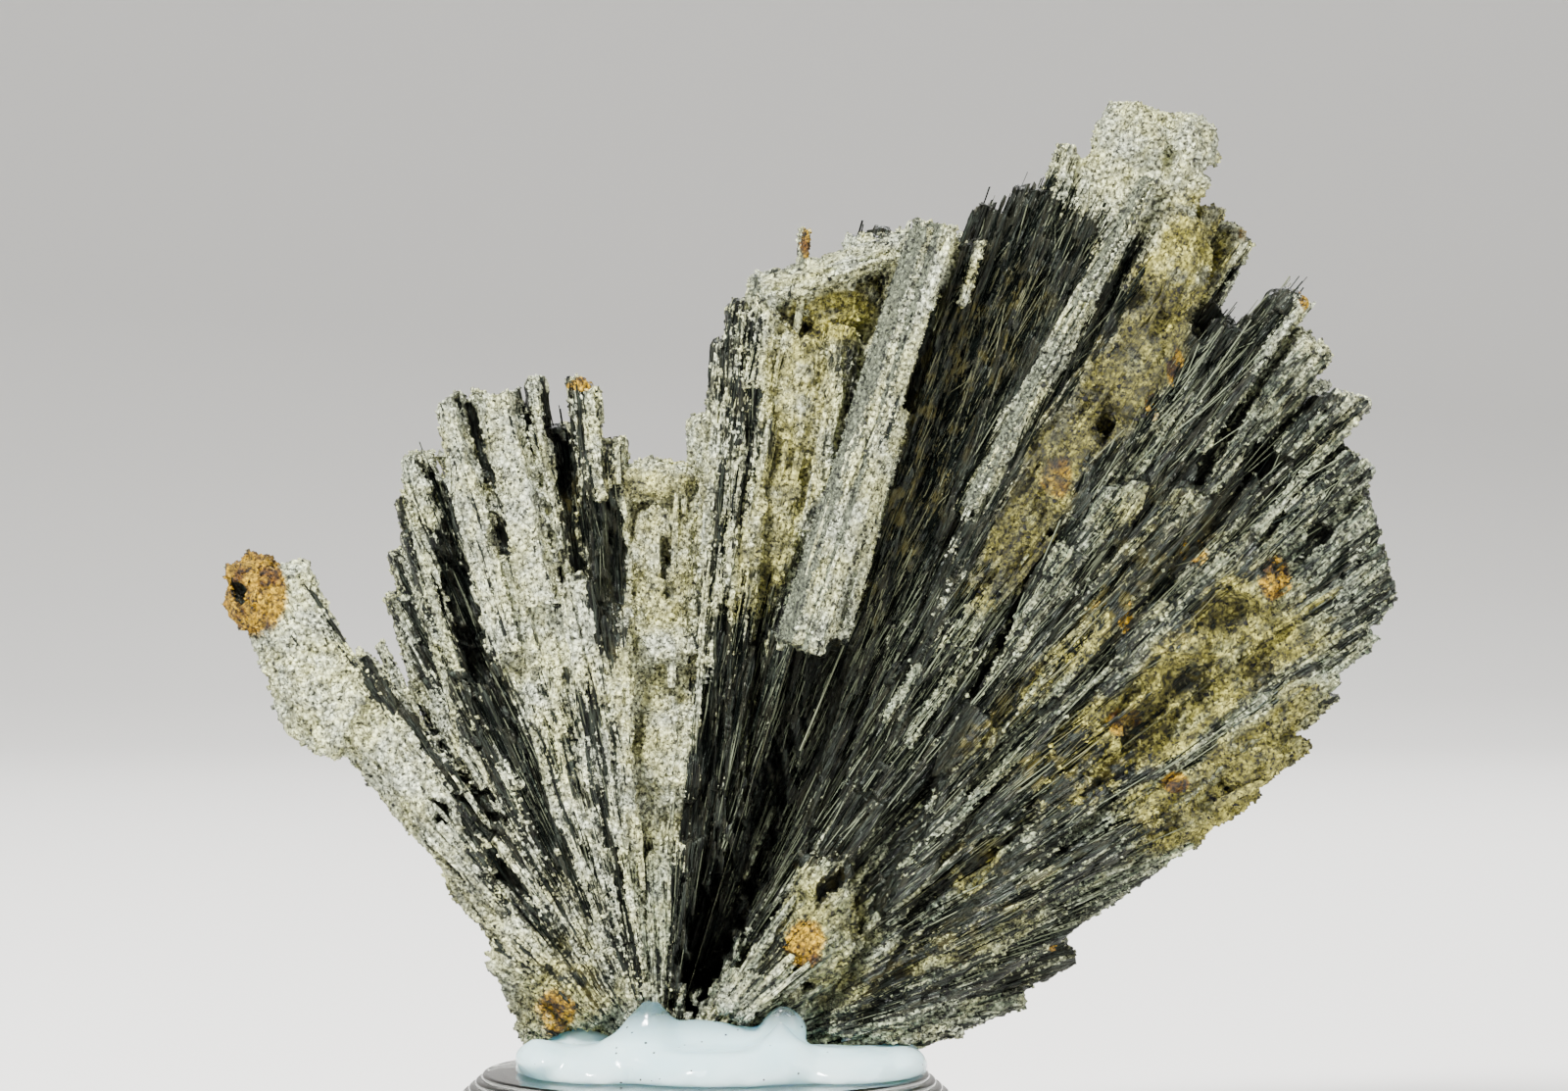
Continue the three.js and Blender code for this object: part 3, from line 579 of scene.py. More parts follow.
def relief_nodes():
    """Geometry nodes that raise the laths, the needles and the crust on them, and roughen the crust."""
    tree = bpy.data.node_groups.new("crystal_relief", "GeometryNodeTree")
    tree.interface.new_socket("Geometry", in_out="INPUT", socket_type="NodeSocketGeometry")
    tree.interface.new_socket("Geometry", in_out="OUTPUT", socket_type="NodeSocketGeometry")
    start = add(tree, "NodeGroupInput")
    mm = add(tree, "GeometryNodeInputPosition")
    normal = add(tree, "GeometryNodeInputNormal")
    pattern = crystal_pattern(tree, mm)
    crumb = zone(tree, "crumb")
    plain = add(tree, "ShaderNodeMath", [1.0, crumb], operation="SUBTRACT")
    step = add(tree, "ShaderNodeMath", [pattern["lath"], 0.5], operation="SUBTRACT")
    step_size = add(tree, "ShaderNodeMath", [plain, LATH_STEP], operation="MULTIPLY")
    laths = add(tree, "ShaderNodeMath", [step, step_size], operation="MULTIPLY")
    needle = add(tree, "ShaderNodeMath", [pattern["needle"], 0.22, laths], operation="MULTIPLY_ADD")
    cover = add(tree, "ShaderNodeMath", [pattern["crust"], CRUST_THICKNESS, needle], operation="MULTIPLY_ADD")
    lumps = add(tree, "ShaderNodeTexNoise", {"Vector": mm, "Scale": 0.7, "Detail": 4.0, "Roughness": 0.65})
    lump_size = add(tree, "ShaderNodeMath", [crumb, 1.5, 0.35], operation="MULTIPLY_ADD")
    lump_off = add(tree, "ShaderNodeMath", [lumps.outputs[0], 0.5], operation="SUBTRACT")
    lumpy = add(tree, "ShaderNodeMath", [lump_off, lump_size, cover], operation="MULTIPLY_ADD")
    loose = add(tree, "ShaderNodeMath", [1.0, pattern["calm"]], operation="SUBTRACT")
    calmed = add(tree, "ShaderNodeMath", [lumpy, loose], operation="MULTIPLY")
    grain = add(tree, "ShaderNodeTexVoronoi", {"Vector": mm, "Scale": 0.6 / GRAIN_SIZE})
    grain_size = add(tree, "ShaderNodeMath", [pattern["crust"], -0.22], operation="MULTIPLY")
    height = add(tree, "ShaderNodeMath", [grain.outputs[0], grain_size, calmed], operation="MULTIPLY_ADD")
    lowered = add(tree, "ShaderNodeMath", [height, -0.2], operation="ADD")
    offset = add(tree, "ShaderNodeVectorMath", {0: normal, "Scale": lowered}, operation="SCALE")
    marked = add(
        tree,
        "GeometryNodeStoreNamedAttribute",
        {"Geometry": start, "Name": "crust", "Value": pattern["crust"]},
        data_type="FLOAT",
        domain="POINT",
    )
    moved = add(tree, "GeometryNodeSetPosition", {"Geometry": marked, "Offset": offset})
    end = add(tree, "NodeGroupOutput")
    tree.links.new(moved.outputs[0], end.inputs[0])
    return tree


def new_material(name):
    material = bpy.data.materials.new(name)
    material.use_nodes = True
    tree = material.node_tree
    tree.nodes.clear()
    return material, tree


def object_mm(tree):
    """The place on the object in millimetres."""
    place = add(tree, "ShaderNodeTexCoord").outputs["Object"]
    return add(tree, "ShaderNodeVectorMath", {0: place, "Scale": 1 / MM}, operation="SCALE")


def mixed(tree, share, low, high):
    """The colour socket of a blend between two colours."""
    return add(tree, "ShaderNodeMix", {0: share, 6: low, 7: high}, data_type="RGBA").outputs[2]


def crust_colour(tree, mm, pattern, fine, grain):
    """Chalky cream to grey crust, granular like damp sugar, with ochre and rust stains and dark pores. It has
    painted shade between the grains, in pits, over the right of the fan and on faces turned to the left.
    """
    tint = add(tree, "ShaderNodeTexNoise", {"Vector": mm, "Scale": 0.4, "Detail": 5.0, "Roughness": 0.7})
    cream_share = add(tree, "ShaderNodeMapRange", [tint.outputs[0], 0.4, 0.6])
    warm = mixed(tree, cream_share, linear("#eaf1d2"), linear("#feffba"))
    # Faces turned to the left get a darker grey-green: painted shade on that side.
    pale = mixed(tree, zone(tree, "painted_side_shade"), warm, linear("#7b826a"))
    grey_streak = add(tree, "ShaderNodeMapRange", [pattern["streak"], 0.38, 0.6, 1.1, 0.45])
    grey = zone(tree, "grey")
    grey_share = add(tree, "ShaderNodeMath", [grey, grey_streak], operation="MULTIPLY", use_clamp=True)
    greyed = mixed(tree, grey_share, pale, linear("#77866a"))
    ochre_noise = add(tree, "ShaderNodeMapRange", [tint.outputs[0], 0.34, 0.56, 0.5, 1.3])
    ochre = zone(tree, "ochre")
    ochre_share = add(tree, "ShaderNodeMath", [ochre, ochre_noise], operation="MULTIPLY", use_clamp=True)
    ochre_patch = add(tree, "ShaderNodeMapRange", [pattern["patch"], 0.38, 0.62])
    ochre_tone = mixed(tree, ochre_patch, linear("#76701c"), linear("#dcd46a"))
    stained = mixed(tree, ochre_share, greyed, ochre_tone)
    rust = zone(tree, "rust")
    rust_noise = add(tree, "ShaderNodeMath", [tint.outputs[0], 1.6, rust], operation="MULTIPLY_ADD")
    rust_share = add(tree, "ShaderNodeMapRange", [rust_noise, 1.2, 1.5])
    rust_tone = mixed(tree, ochre_patch, linear("#684402"), linear("#e4b400"))
    rusted = mixed(tree, rust_share, stained, rust_tone)
    # Painted shade in the gaps between the grains.
    gap_shade = add(tree, "ShaderNodeMapRange", [grain.outputs[0], 0.25, 0.75, 1.15, 0.35])
    grain_random = add(tree, "ShaderNodeSeparateXYZ", [grain.outputs["Color"]])
    grain_shade = add(tree, "ShaderNodeMapRange", [grain_random.outputs[0], 0.0, 1.0, 0.55, 1.25])
    pore_shade = add(tree, "ShaderNodeMapRange", [fine, 0.4, 0.5, 0.08, 1.0])
    shade1 = add(tree, "ShaderNodeMath", [gap_shade, grain_shade], operation="MULTIPLY")
    shade2 = add(tree, "ShaderNodeMath", [shade1, pore_shade], operation="MULTIPLY")
    # The stored darkening: a random tone of each bar and grain, painted shade in pits and over the right of
    # the fan, and darker ochre zones.
    extra = add(tree, "ShaderNodeMath", [zone(tree, "tone_and_painted_shade"), 1.0], operation="ADD")
    tone_and_painted_shade = add(tree, "ShaderNodeMath", [shade2, extra], operation="MULTIPLY")
    return add(tree, "ShaderNodeVectorMath", {0: rusted, "Scale": tone_and_painted_shade}, operation="SCALE").outputs[0]


def bare_colour(tree, mm, pattern, glint):
    """Bare stibnite in fine fibres: black, lead grey and steel blue, with olive dust between them."""
    fibre = add(tree, "ShaderNodeMapRange", [glint, 0.42, 0.7])
    dark = mixed(tree, fibre, linear("#050605"), linear("#3a4138"))
    dust = add(tree, "ShaderNodeMapRange", [pattern["streak"], 0.44, 0.62, 0.0, 0.8])
    dusty = mixed(tree, dust, dark, linear("#2b2b1f"))
    patch = add(tree, "ShaderNodeMapRange", [pattern["patch"], 0.48, 0.62])
    ochre = add(tree, "ShaderNodeMath", [zone(tree, "ochre"), patch], operation="MULTIPLY", use_clamp=True)
    return mixed(tree, ochre, dusty, linear("#5c5526"))


def crusted_stibnite():
    """Stibiconite crust over bare stibnite, a dark grey semi-metal that breaks in bright splinters along its
    length. The crust is quite dull, and the bare fibres shine."""
    material, tree = new_material("stibiconite_crust_on_stibnite")
    mm = object_mm(tree)
    pattern = crystal_pattern(tree, mm)
    pores = add(tree, "ShaderNodeTexNoise", {"Vector": mm, "Scale": 4.2, "Detail": 3.0, "Roughness": 0.7})
    fine = pores.outputs[0]
    grain = add(tree, "ShaderNodeTexVoronoi", {"Vector": mm, "Scale": 1 / GRAIN_SIZE})
    crust = crust_colour(tree, mm, pattern, fine, grain)
    glint_place = add(tree, "ShaderNodeVectorMath", [pattern["fan"], (9.0, 4.0, 0.5)], operation="MULTIPLY")
    glint = add(tree, "ShaderNodeTexNoise", {"Vector": glint_place, "Scale": 1.0, "Detail": 3.0}).outputs[0]
    bare = bare_colour(tree, mm, pattern, glint)
    colour = mixed(tree, pattern["crust"], bare, crust)
    rough = add(tree, "ShaderNodeMapRange", [pattern["crust"], 0.0, 1.0, 0.36, 0.92])
    metal = add(tree, "ShaderNodeMapRange", [pattern["crust"], 0.0, 1.0, 0.7, 0.0])
    grain_height = add(tree, "ShaderNodeMath", [grain.outputs[0], -0.8, 1.0], operation="MULTIPLY_ADD")
    fine_height = add(tree, "ShaderNodeMath", [fine, 1.4, grain_height], operation="MULTIPLY_ADD")
    crust_height = add(tree, "ShaderNodeMath", [fine_height, pattern["crust"]], operation="MULTIPLY")
    height = add(tree, "ShaderNodeMath", [glint, 1.6, crust_height], operation="MULTIPLY_ADD")
    bump = add(tree, "ShaderNodeBump", {"Height": height, "Strength": 1.0, "Distance": 0.2 * MM})
    values = {"Base Color": colour, "Roughness": rough, "Metallic": metal, "Normal": bump}
    surface = add(tree, "ShaderNodeBsdfPrincipled", values)
    add(tree, "ShaderNodeOutputMaterial", {"Surface": surface})
    return material


def bare_stibnite():
    """Fresh stibnite needles: lead grey and metallic, nearly black where they look at the dark, steel blue
    where they catch the light. A share of them is dulled by grey-green and cream dust."""
    material, tree = new_material("bare_stibnite_needle")
    mm = object_mm(tree)
    tone = add(tree, "ShaderNodeAttribute", attribute_name="tone").outputs["Fac"]
    grey = zone(tree, "grey")
    black = add(tree, "ShaderNodeMapRange", [tone, 0.0, 0.8])
    dark = mixed(tree, black, linear("#070807"), linear("#333b36"))
    speck = add(tree, "ShaderNodeTexNoise", {"Vector": mm, "Scale": 3.6, "Detail": 3.0, "Roughness": 0.7})
    limit = add(tree, "ShaderNodeMath", [grey, -0.22, 1.08], operation="MULTIPLY_ADD")
    dusty = add(tree, "ShaderNodeMath", [speck.outputs[0], 0.55, tone], operation="MULTIPLY_ADD")
    over = add(tree, "ShaderNodeMath", [dusty, limit], operation="SUBTRACT")
    dust_share = add(tree, "ShaderNodeMapRange", [over, 0.0, 0.12])
    dust_dark = mixed(tree, grey, linear("#2b2d20"), linear("#525a4a"))
    dust_tone = mixed(tree, speck.outputs[0], dust_dark, linear("#757b60"))
    ochre_share = add(tree, "ShaderNodeMath", [zone(tree, "ochre"), 0.5], operation="MULTIPLY")
    ochre_dust = mixed(tree, ochre_share, dust_tone, linear("#675d2a"))
    dusted = mixed(tree, dust_share, dark, ochre_dust)
    metal = add(tree, "ShaderNodeMapRange", [dust_share, 0.0, 1.0, 0.85, 0.0])
    rough = add(tree, "ShaderNodeMapRange", [dust_share, 0.0, 1.0, 0.27, 0.9])
    values = {"Base Color": dusted, "Roughness": rough, "Metallic": metal}
    surface = add(tree, "ShaderNodeBsdfPrincipled", values)
    add(tree, "ShaderNodeOutputMaterial", {"Surface": surface})
    return material


def white_adhesive():
    """Set hot-melt adhesive: smooth, glossy, milky and slightly blue, with light passing a little way in."""
    material, tree = new_material("milky_hot_melt_adhesive")
    mm = object_mm(tree)
    cloud = add(tree, "ShaderNodeTexNoise", {"Vector": mm, "Scale": 0.22, "Detail": 2.0})
    speck = add(tree, "ShaderNodeTexVoronoi", {"Vector": mm, "Scale": 1.6})
    few = add(tree, "ShaderNodeTexNoise", {"Vector": mm, "Scale": 0.5})
    size = add(tree, "ShaderNodeMapRange", [few.outputs[0], 0.42, 0.62, 0.0, 0.15])
    dirt = add(tree, "ShaderNodeMath", [speck.outputs[0], size], operation="LESS_THAN")
    milky = mixed(tree, cloud.outputs[0], linear("#b6dfe8"), linear("#ddf8f8"))
    colour = mixed(tree, dirt, milky, linear("#4a5052"))
    place = add(tree, "ShaderNodeSeparateXYZ", [mm])
    thin = add(tree, "ShaderNodeMapRange", [place.outputs[2], 10.7, 12.6, 0.2, 0.94])
    ripple = add(tree, "ShaderNodeTexNoise", {"Vector": mm, "Scale": 0.8, "Detail": 2.0})
    bump = add(tree, "ShaderNodeBump", {"Height": ripple.outputs[0], "Strength": 0.3, "Distance": 0.3 * MM})
    values = {
        "Base Color": colour,
        "Roughness": 0.14,
        "IOR": 1.48,
        "Transmission Weight": thin,
        "Subsurface Weight": 0.7,
        "Subsurface Radius": (1.0, 1.1, 1.25),
        "Subsurface Scale": 1.8 * MM,
        "Normal": bump,
    }
    surface = add(tree, "ShaderNodeBsdfPrincipled", values)
    add(tree, "ShaderNodeOutputMaterial", {"Surface": surface})
    return material


def clear_plastic():
    """Moulded acrylic: water clear, polished, with faint mould ripples."""
    material, tree = new_material("clear_moulded_acrylic")
    mm = object_mm(tree)
    ripple = add(tree, "ShaderNodeTexNoise", {"Vector": mm, "Scale": 0.3, "Detail": 1.0})
    haze = add(tree, "ShaderNodeTexNoise", {"Vector": mm, "Scale": 1.2, "Detail": 3.0})
    rough = add(tree, "ShaderNodeMapRange", [haze.outputs[0], 0.3, 0.7, 0.02, 0.09])
    bump = add(tree, "ShaderNodeBump", {"Height": ripple.outputs[0], "Strength": 0.2, "Distance": 0.2 * MM})
    values = {
        "Base Color": linear("#f4f8f3"),
        "Roughness": rough,
        "IOR": 1.49,
        "Transmission Weight": 1.0,
        "Normal": bump,
    }
    surface = add(tree, "ShaderNodeBsdfPrincipled", values)
    add(tree, "ShaderNodeOutputMaterial", {"Surface": surface})
    return material


# The body of the spray.
def cad_solid(node):
    """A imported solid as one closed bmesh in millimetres."""
    bm = bmesh.new()
    bm.from_mesh(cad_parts[node].data)
    bmesh.ops.scale(bm, vec=(1 / MM,) * 3, verts=bm.verts)
    bmesh.ops.remove_doubles(bm, verts=bm.verts, dist=1e-4)
    return bm


def mesh_of(bm, name):
    mesh = bpy.data.meshes.new(name)
    bm.to_mesh(mesh)
    bm.free()
    return mesh


def keep_side(bm, angle, sign):
    """Cuts a closed bmesh by the plane through the root at an angle, and closes the cut."""
    turn = math.radians(angle)
    normal = Vector((math.cos(turn), 0, -math.sin(turn))) * sign
    everything = bm.verts[:] + bm.edges[:] + bm.faces[:]
    cut = bmesh.ops.bisect_plane(
        bm, geom=everything, dist=1e-5, plane_co=(ROOT_X, 0, ROOT_Z), plane_no=normal, clear_inner=True
    )
    edges = [e for e in cut["geom_cut"] if isinstance(e, bmesh.types.BMEdge)]
    bmesh.ops.holes_fill(bm, edges=edges, sides=0)


def pitted(piece):
    """Pushes the front in where it has pits."""
    points = points_of(piece.data)
    depth = pit_depth(points)
    points[:, 1] += depth
    piece.data.vertices.foreach_set("co", points.ravel())
    return np.clip(depth / 1.6, 0, 1)


def with_relief(piece, relief, **fixed):
    """Stores the zone weights at a piece's points and raises its crystals.

    A fixed weight is the same all over."""
    points = points_of(piece.data)
    weights = zone_weights(points)
    depth = pitted(piece)
    # Pits are darkened twice: more bare stibnite shows in them, and a painted shade below deepens with their
    # depth.
    weights["dark"] = np.clip(weights["dark"] + 0.4 * depth, 0, 1)
    for kind, values in weights.items():
        write_attribute(piece.data, kind, np.full(len(values), fixed[kind]) if kind in fixed else values)
    # Painted shade: darker the deeper a pit, together with the zones that darken.
    write_attribute(piece.data, "tone_and_painted_shade", -0.5 * depth - weights["darker_tone_and_painted_shade"])
    # Painted shade: faces turned to the left are marked to be painted darker, most on the crystals that stand
    # clear of the body.
    normals = np.empty(len(depth) * 3)
    piece.data.vertices.foreach_get("normal", normals)
    painted_side_shade = smooth_step(0.1, 0.5, -normals[::3]) * (0.3 + 0.7 * on_proud(points))
    write_attribute(piece.data, "painted_side_shade", painted_side_shade)
    modifier = piece.modifiers.new("relief", "NODES")
    modifier.node_group = relief
    return applied(piece)


def sector_objects(bm, names, angles):
    """Cuts the closed body at the angles into one closed piece for each name."""
    if len(names) == 1:
        return [new_object(names[0], mesh_of(bm, names[0]))]
    middle = len(names) // 2
    right = bm.copy()
    keep_side(bm, angles[middle - 1], -1)
    keep_side(right, angles[middle - 1], 1)
    left_objects = sector_objects(bm, names[:middle], angles[: middle - 1])
    return left_objects + sector_objects(right, names[middle:], angles[middle:])


def whole_spray(relief):
    whole = new_object("whole_spray", mesh_of(cad_solid("stibnite_spray"), "whole_spray"))
    return with_relief(remeshed(whole, VOXEL), relief)


def sectors_of(whole, names, angles):
    """A closed piece cut at the angles, in place of the whole."""
    bm = bmesh.new()
    bm.from_mesh(whole.data)
    bpy.data.objects.remove(whole)
    return sector_objects(bm, names, angles)


def surface_tree(piece):
    return BVHTree.FromObject(piece, bpy.context.evaluated_depsgraph_get())


def cast(trees, origins, directions):
    """Where rays first meet the body: points, with not-a-number where they miss."""
    found = np.full((len(origins), 3), np.nan)
    for index, (origin, direction) in enumerate(zip(origins.tolist(), directions.tolist())):
        hits = [tree.ray_cast(Vector(origin), Vector(direction)) for tree in trees]
        hits = [(hit[3], hit[0]) for hit in hits if hit[0] is not None]
        if hits:
            found[index] = min(hits, key=lambda hit: hit[0])[1]
    return found


def face_y(trees, x, z):
    """The y of the body's front at x and z, or of its nearest part below."""
    for drop in range(12):
        share = 1 - 0.02 * drop
        spot = np.array([[ROOT_X + (x - ROOT_X) * share, -40.0, ROOT_Z + (z - ROOT_Z) * share]])
        hit = cast(trees, spot, np.array([[0.0, 1.0, 0.0]]))[0]
        if not np.isnan(hit[0]):
            return hit[1]
    return 0.0


def crystal(bm, tip, foot, width, depth, rng):
    """A lath with five long faces and a slanting, broken tip."""
    axis = Vector(tip) - Vector(foot)
    made = bmesh.ops.create_cone(
        bm, cap_ends=True, segments=5, radius1=0.5, radius2=0.5, depth=axis.length
    )["verts"]
    slant = rng.uniform(-0.4, 0.4)
    for vert in made:
        top = vert.co.z > 0
        corner = LATH_SECTION[round(math.atan2(vert.co.x, vert.co.y) / (0.4 * math.pi)) % 5]
        share = 0.95 if top else 1.0
        vert.co.x = corner[0] * width * share
        vert.co.y = corner[1] * depth * share
        vert.co.z += slant * vert.co.x if top else 0
    up = axis.normalized()
    across = Vector((0, 1, 0)).cross(up).normalized()
    turn = Matrix((across, up.cross(across), up)).transposed()
    bmesh.ops.rotate(bm, matrix=turn, verts=made)
    bmesh.ops.translate(bm, vec=(Vector(tip) + Vector(foot)) / 2, verts=made)


def standing_crystals(trees, relief, rng):
    bm = bmesh.new()
    for x0, y0, z0, x1, y1, z1, width, depth in CRYSTALS:
        if y0 is None:
            y0 = face_y(trees, x0, z0) + 0.1 * depth
            y1 = face_y(trees, x1, z1) + 0.1 * depth
        crystal(bm, (x0, y0, z0), (x1, y1, z1), width, depth, rng)
    for x, z, radius in BALLS:
        made = bmesh.ops.create_icosphere(bm, subdivisions=2, radius=radius)["verts"]
        bmesh.ops.translate(bm, vec=(x, face_y(trees, x, z) - 0.5 * radius, z), verts=made)
    piece = remeshed(new_object("standing_laths", mesh_of(bm, "standing_laths")), VOXEL)
    weights = zone_weights(points_of(piece.data))
    with_relief(piece, relief, dark=0.3, calm=0.75)
    write_attribute(piece.data, "grey", 0.8 * weights["grey"])
    write_attribute(piece.data, "ochre", 0.3 * weights["ochre"])
    return piece


# Crystals that lie on the body.
def template(segments, rings):
    """A bar of unit length and width from z = 0 to 1, as points and faces."""
    bm = bmesh.new()
    bmesh.ops.create_cone(bm, cap_ends=True, segments=segments, radius1=0.5, radius2=0.5, depth=1.0)
    bmesh.ops.translate(bm, vec=(0, 0, 0.5), verts=bm.verts)
    if rings:
        long_edges = [e for e in bm.edges if abs(e.verts[0].co.z - e.verts[1].co.z) > 0.5]
        bmesh.ops.subdivide_edges(bm, edges=long_edges, cuts=rings)
    points = np.array([v.co for v in bm.verts])
    faces = [[v.index for v in f.verts] for f in bm.faces]
    bm.free()
    return points, faces


def copies_mesh(name, spots, faces, attributes):
    """One mesh of many copies of a shape, with an attribute value for each copy."""
    count, size = spots.shape[:2]
    all_faces = [[i + base for i in face] for base in range(0, count * size, size) for face in faces]
    mesh = bpy.data.meshes.new(name)
    mesh.from_pydata(spots.reshape(-1, 3).tolist(), [], all_faces)
    for key, values in attributes.items():
        write_attribute(mesh, key, np.repeat(values, size))
    return new_object(name, mesh)


def joined_bars(name, shape, starts, ends, widths, depths, rough, rng, attributes):
    """One mesh of many bars, each from its start to its end, with a slanting end and uneven sides."""
    points, faces = shape
    count = len(starts)
    along = ends - starts
    length = np.linalg.norm(along, axis=1, keepdims=True)
    up = along / length
    across = np.cross(up, np.array([0.0, 1.0, 0.0]))
    across /= np.linalg.norm(across, axis=1, keepdims=True)
    through = np.cross(up, across)
    t = points[:, 2]
    tip = rng.uniform(0.35, 0.95, (count, 1))
    foot = rng.uniform(0.5, 0.9, (count, 1))
    share = np.where(t > 0.99, tip, np.where(t < 0.01, foot, 1.0))
    u = points[:, 0] * share * widths[:, None]
    v = points[:, 1] * share * depths[:, None]
    u += rng.uniform(-rough, rough, u.shape)
    v += rng.uniform(-rough, rough, v.shape)
    slant = rng.uniform(-0.8, 0.8, (count, 1)) * u * (t > 0.99)
    w = t * length + slant
    spots = (
        starts[:, None, :]
        + across[:, None, :] * u[..., None]
        + through[:, None, :] * v[..., None]
        + up[:, None, :] * w[..., None]
    )
    return copies_mesh(name, spots, faces, attributes)


def on_face(trees, angle, reach, side):
    """Points of the front (side -1) or the back (side 1) at an angle and a reach from the root."""
    turn = np.radians(angle)
    x = ROOT_X + reach * np.sin(turn)
    z = ROOT_Z + reach * np.cos(turn)
    origins = np.stack([x, np.full_like(x, 40.0 * side), z], 1)
    return cast(trees, origins, np.tile([0.0, -side, 0.0], (len(x), 1)))


def lying_bars(trees, rng, count, side, length_range, accept):
    """Starts and ends of bars that lie along the crystals on one face, where accept allows them."""
    angle = rng.uniform(-47, 80, count)
    reach = 66 * np.sqrt(rng.uniform(0.01, 1, count))
    turn = np.radians(angle)
    x = ROOT_X + reach * np.sin(turn)
    z = ROOT_Z + reach * np.cos(turn)
    places = np.stack([x, np.full(count, 5.0 * side), z], 1)
    wanted = rng.uniform(0, 1, count) < accept(zone_weights(places))
    angle, reach, places = angle[wanted], reach[wanted], places[wanted]
    length = rng.uniform(*length_range, len(angle))
    start = on_face(trees, angle, reach, side)
    end = on_face(trees, angle + rng.normal(0, 0.4, len(angle)), reach + length, side)
    good = ~np.isnan(start[:, 0]) & ~np.isnan(end[:, 0])
    good &= np.abs(start[:, 1] - end[:, 1]) < 0.14 * length
    return start[good], end[good], {k: v[good] for k, v in zone_weights(places).items()}


def rim_bars(trees, rng, count, length_range, stand, accept):
    """Starts and ends of bars whose tips stand out of the broken rim."""
    angle = rng.uniform(-42, 82, count)
    turn = np.radians(angle)
    out = np.stack([np.sin(turn), np.zeros(count), np.cos(turn)], 1)
    origins = np.array([ROOT_X, 0, ROOT_Z]) + out * 90
    origins[:, 1] = rng.uniform(-4.5, 8.0, count)
    hit = cast(trees, origins, -out)
    good = ~np.isnan(hit[:, 0])
    hit, out = hit[good], out[good]
    wanted = rng.uniform(0, 1, len(hit)) < accept(zone_weights(hit - out * 2))
    hit, out = hit[wanted], out[wanted]
    length = rng.uniform(*length_range, (len(hit), 1))
    rise = rng.uniform(0, 1, (len(hit), 1)) ** 2 * (stand[1] - stand[0]) + stand[0]
    lean = rng.normal(0, 0.03, (len(hit), 3))
    end = hit + out * rise
    start = end - (out + lean) * length
    return start, end, zone_weights(hit)


def comb_bars(combs, rng):
    """Starts and ends of the short bars that stand in rows along an edge."""
    starts = []
    ends = []
    for x0, z0, x1, z1, y, count, height in combs:
        share = np.sort(rng.uniform(0, 1, count))
        foot = np.stack([x0 + (x1 - x0) * share, y + rng.normal(0, 0.5, count), z0 + (z1 - z0) * share], 1)
        out = foot - np.array([ROOT_X, 0, ROOT_Z])
        out[:, 1] = rng.normal(0, 0.8, count)
        out /= np.linalg.norm(out, axis=1, keepdims=True)
        starts.append(foot - out)
        ends.append(foot + out * height * rng.uniform(0.2, 1, (count, 1)))
    ends = np.concatenate(ends)
    return np.concatenate(starts), ends, zone_weights(ends)


def where_bare(weights):
    """Needles lie where the stibnite is bare."""
    return (weights["dark"] - 0.4) * 3 * (1 - weights["crumb"])


def where_crusted(weights):
    """Crusted laths lie where the crust is neither crumbly nor smooth."""
    return (1 - weights["crumb"]) * (0.7 - weights["dark"]) * (1 - weights["calm"])


def where_rim_is_bare(weights):
    return (weights["dark"] - 0.62) * 3


def where_rim_is_crusted(weights):
    return (0.9 - weights["dark"]) * (1 - weights["calm"]) * (1 - weights["crumb"])


def bar_set(name, shape, bars, width_range, depth_range, rough, rng, material, side=0, sink=0.0):
    """A finished piece of many bars, each with a tone and a darkness of its own, plus the painted shade of
    its zone.
    """
    start, end, weights = bars
    count = len(start)
    shift = np.array([0.0, -side * sink, 0.0])
    widths = rng.uniform(*width_range, count)
    depths = rng.uniform(*depth_range, count)
    attributes = dict(weights)
    attributes["rust"] = np.zeros(count)
    attributes["tone"] = rng.uniform(0, 1, count)
    # A random darkness of each bar, less the darkening of its zone, which is partly painted shade.
    attributes["tone_and_painted_shade"] = rng.uniform(-0.15, 0.1, count) - weights["darker_tone_and_painted_shade"]
    piece = joined_bars(name, shape, start + shift, end + shift, widths, depths, rough, rng, attributes)
    return finish_piece(piece, material)


def grains(name, bodies, rng, count, size_range, material):
    """Eight-sided grains of crust, half sunk in the crust of the bodies."""
    bm = bmesh.new()
    bmesh.ops.create_uvsphere(bm, u_segments=4, v_segments=2, radius=1.0)
    bmesh.ops.rotate(bm, matrix=Matrix.Rotation(0.6, 3, (1, 1, 0)), verts=bm.verts)
    shape = np.array([v.co for v in bm.verts])
    faces = [[v.index for v in f.verts] for f in bm.faces]
    bm.free()
    places = []
    painted_side_shade = []
    for body in bodies:
        crusted = read_attribute(body.data, "crust") > 0.8
        places.append(points_of(body.data)[crusted] / MM)
        painted_side_shade.append(read_attribute(body.data, "painted_side_shade")[crusted])
    places = np.concatenate(places)
    chosen = rng.choice(len(places), min(count, len(places)), replace=False)
    places = places[chosen]
    size = rng.uniform(*size_range, (len(places), 1, 1)) * rng.uniform(0.7, 1.3, (len(places), 1, 3))
    weights = zone_weights(places)
    # The grains take the painted side shade of the crust under them.
    weights["painted_side_shade"] = np.concatenate(painted_side_shade)[chosen]
    weights["dark"] = np.zeros(len(places))
    dusky = rng.uniform(0, 1, len(places)) < 0.13
    # Some grains are dark at random; all take the darkening of their zone, which is partly painted shade.
    weights["tone_and_painted_shade"] = np.where(dusky, -0.75, rng.uniform(-0.3, 0.2, len(places))) - weights["darker_tone_and_painted_shade"]
    piece = copies_mesh(name, places[:, None, :] + shape[None] * size, faces, weights)
    return finish_piece(piece, material)


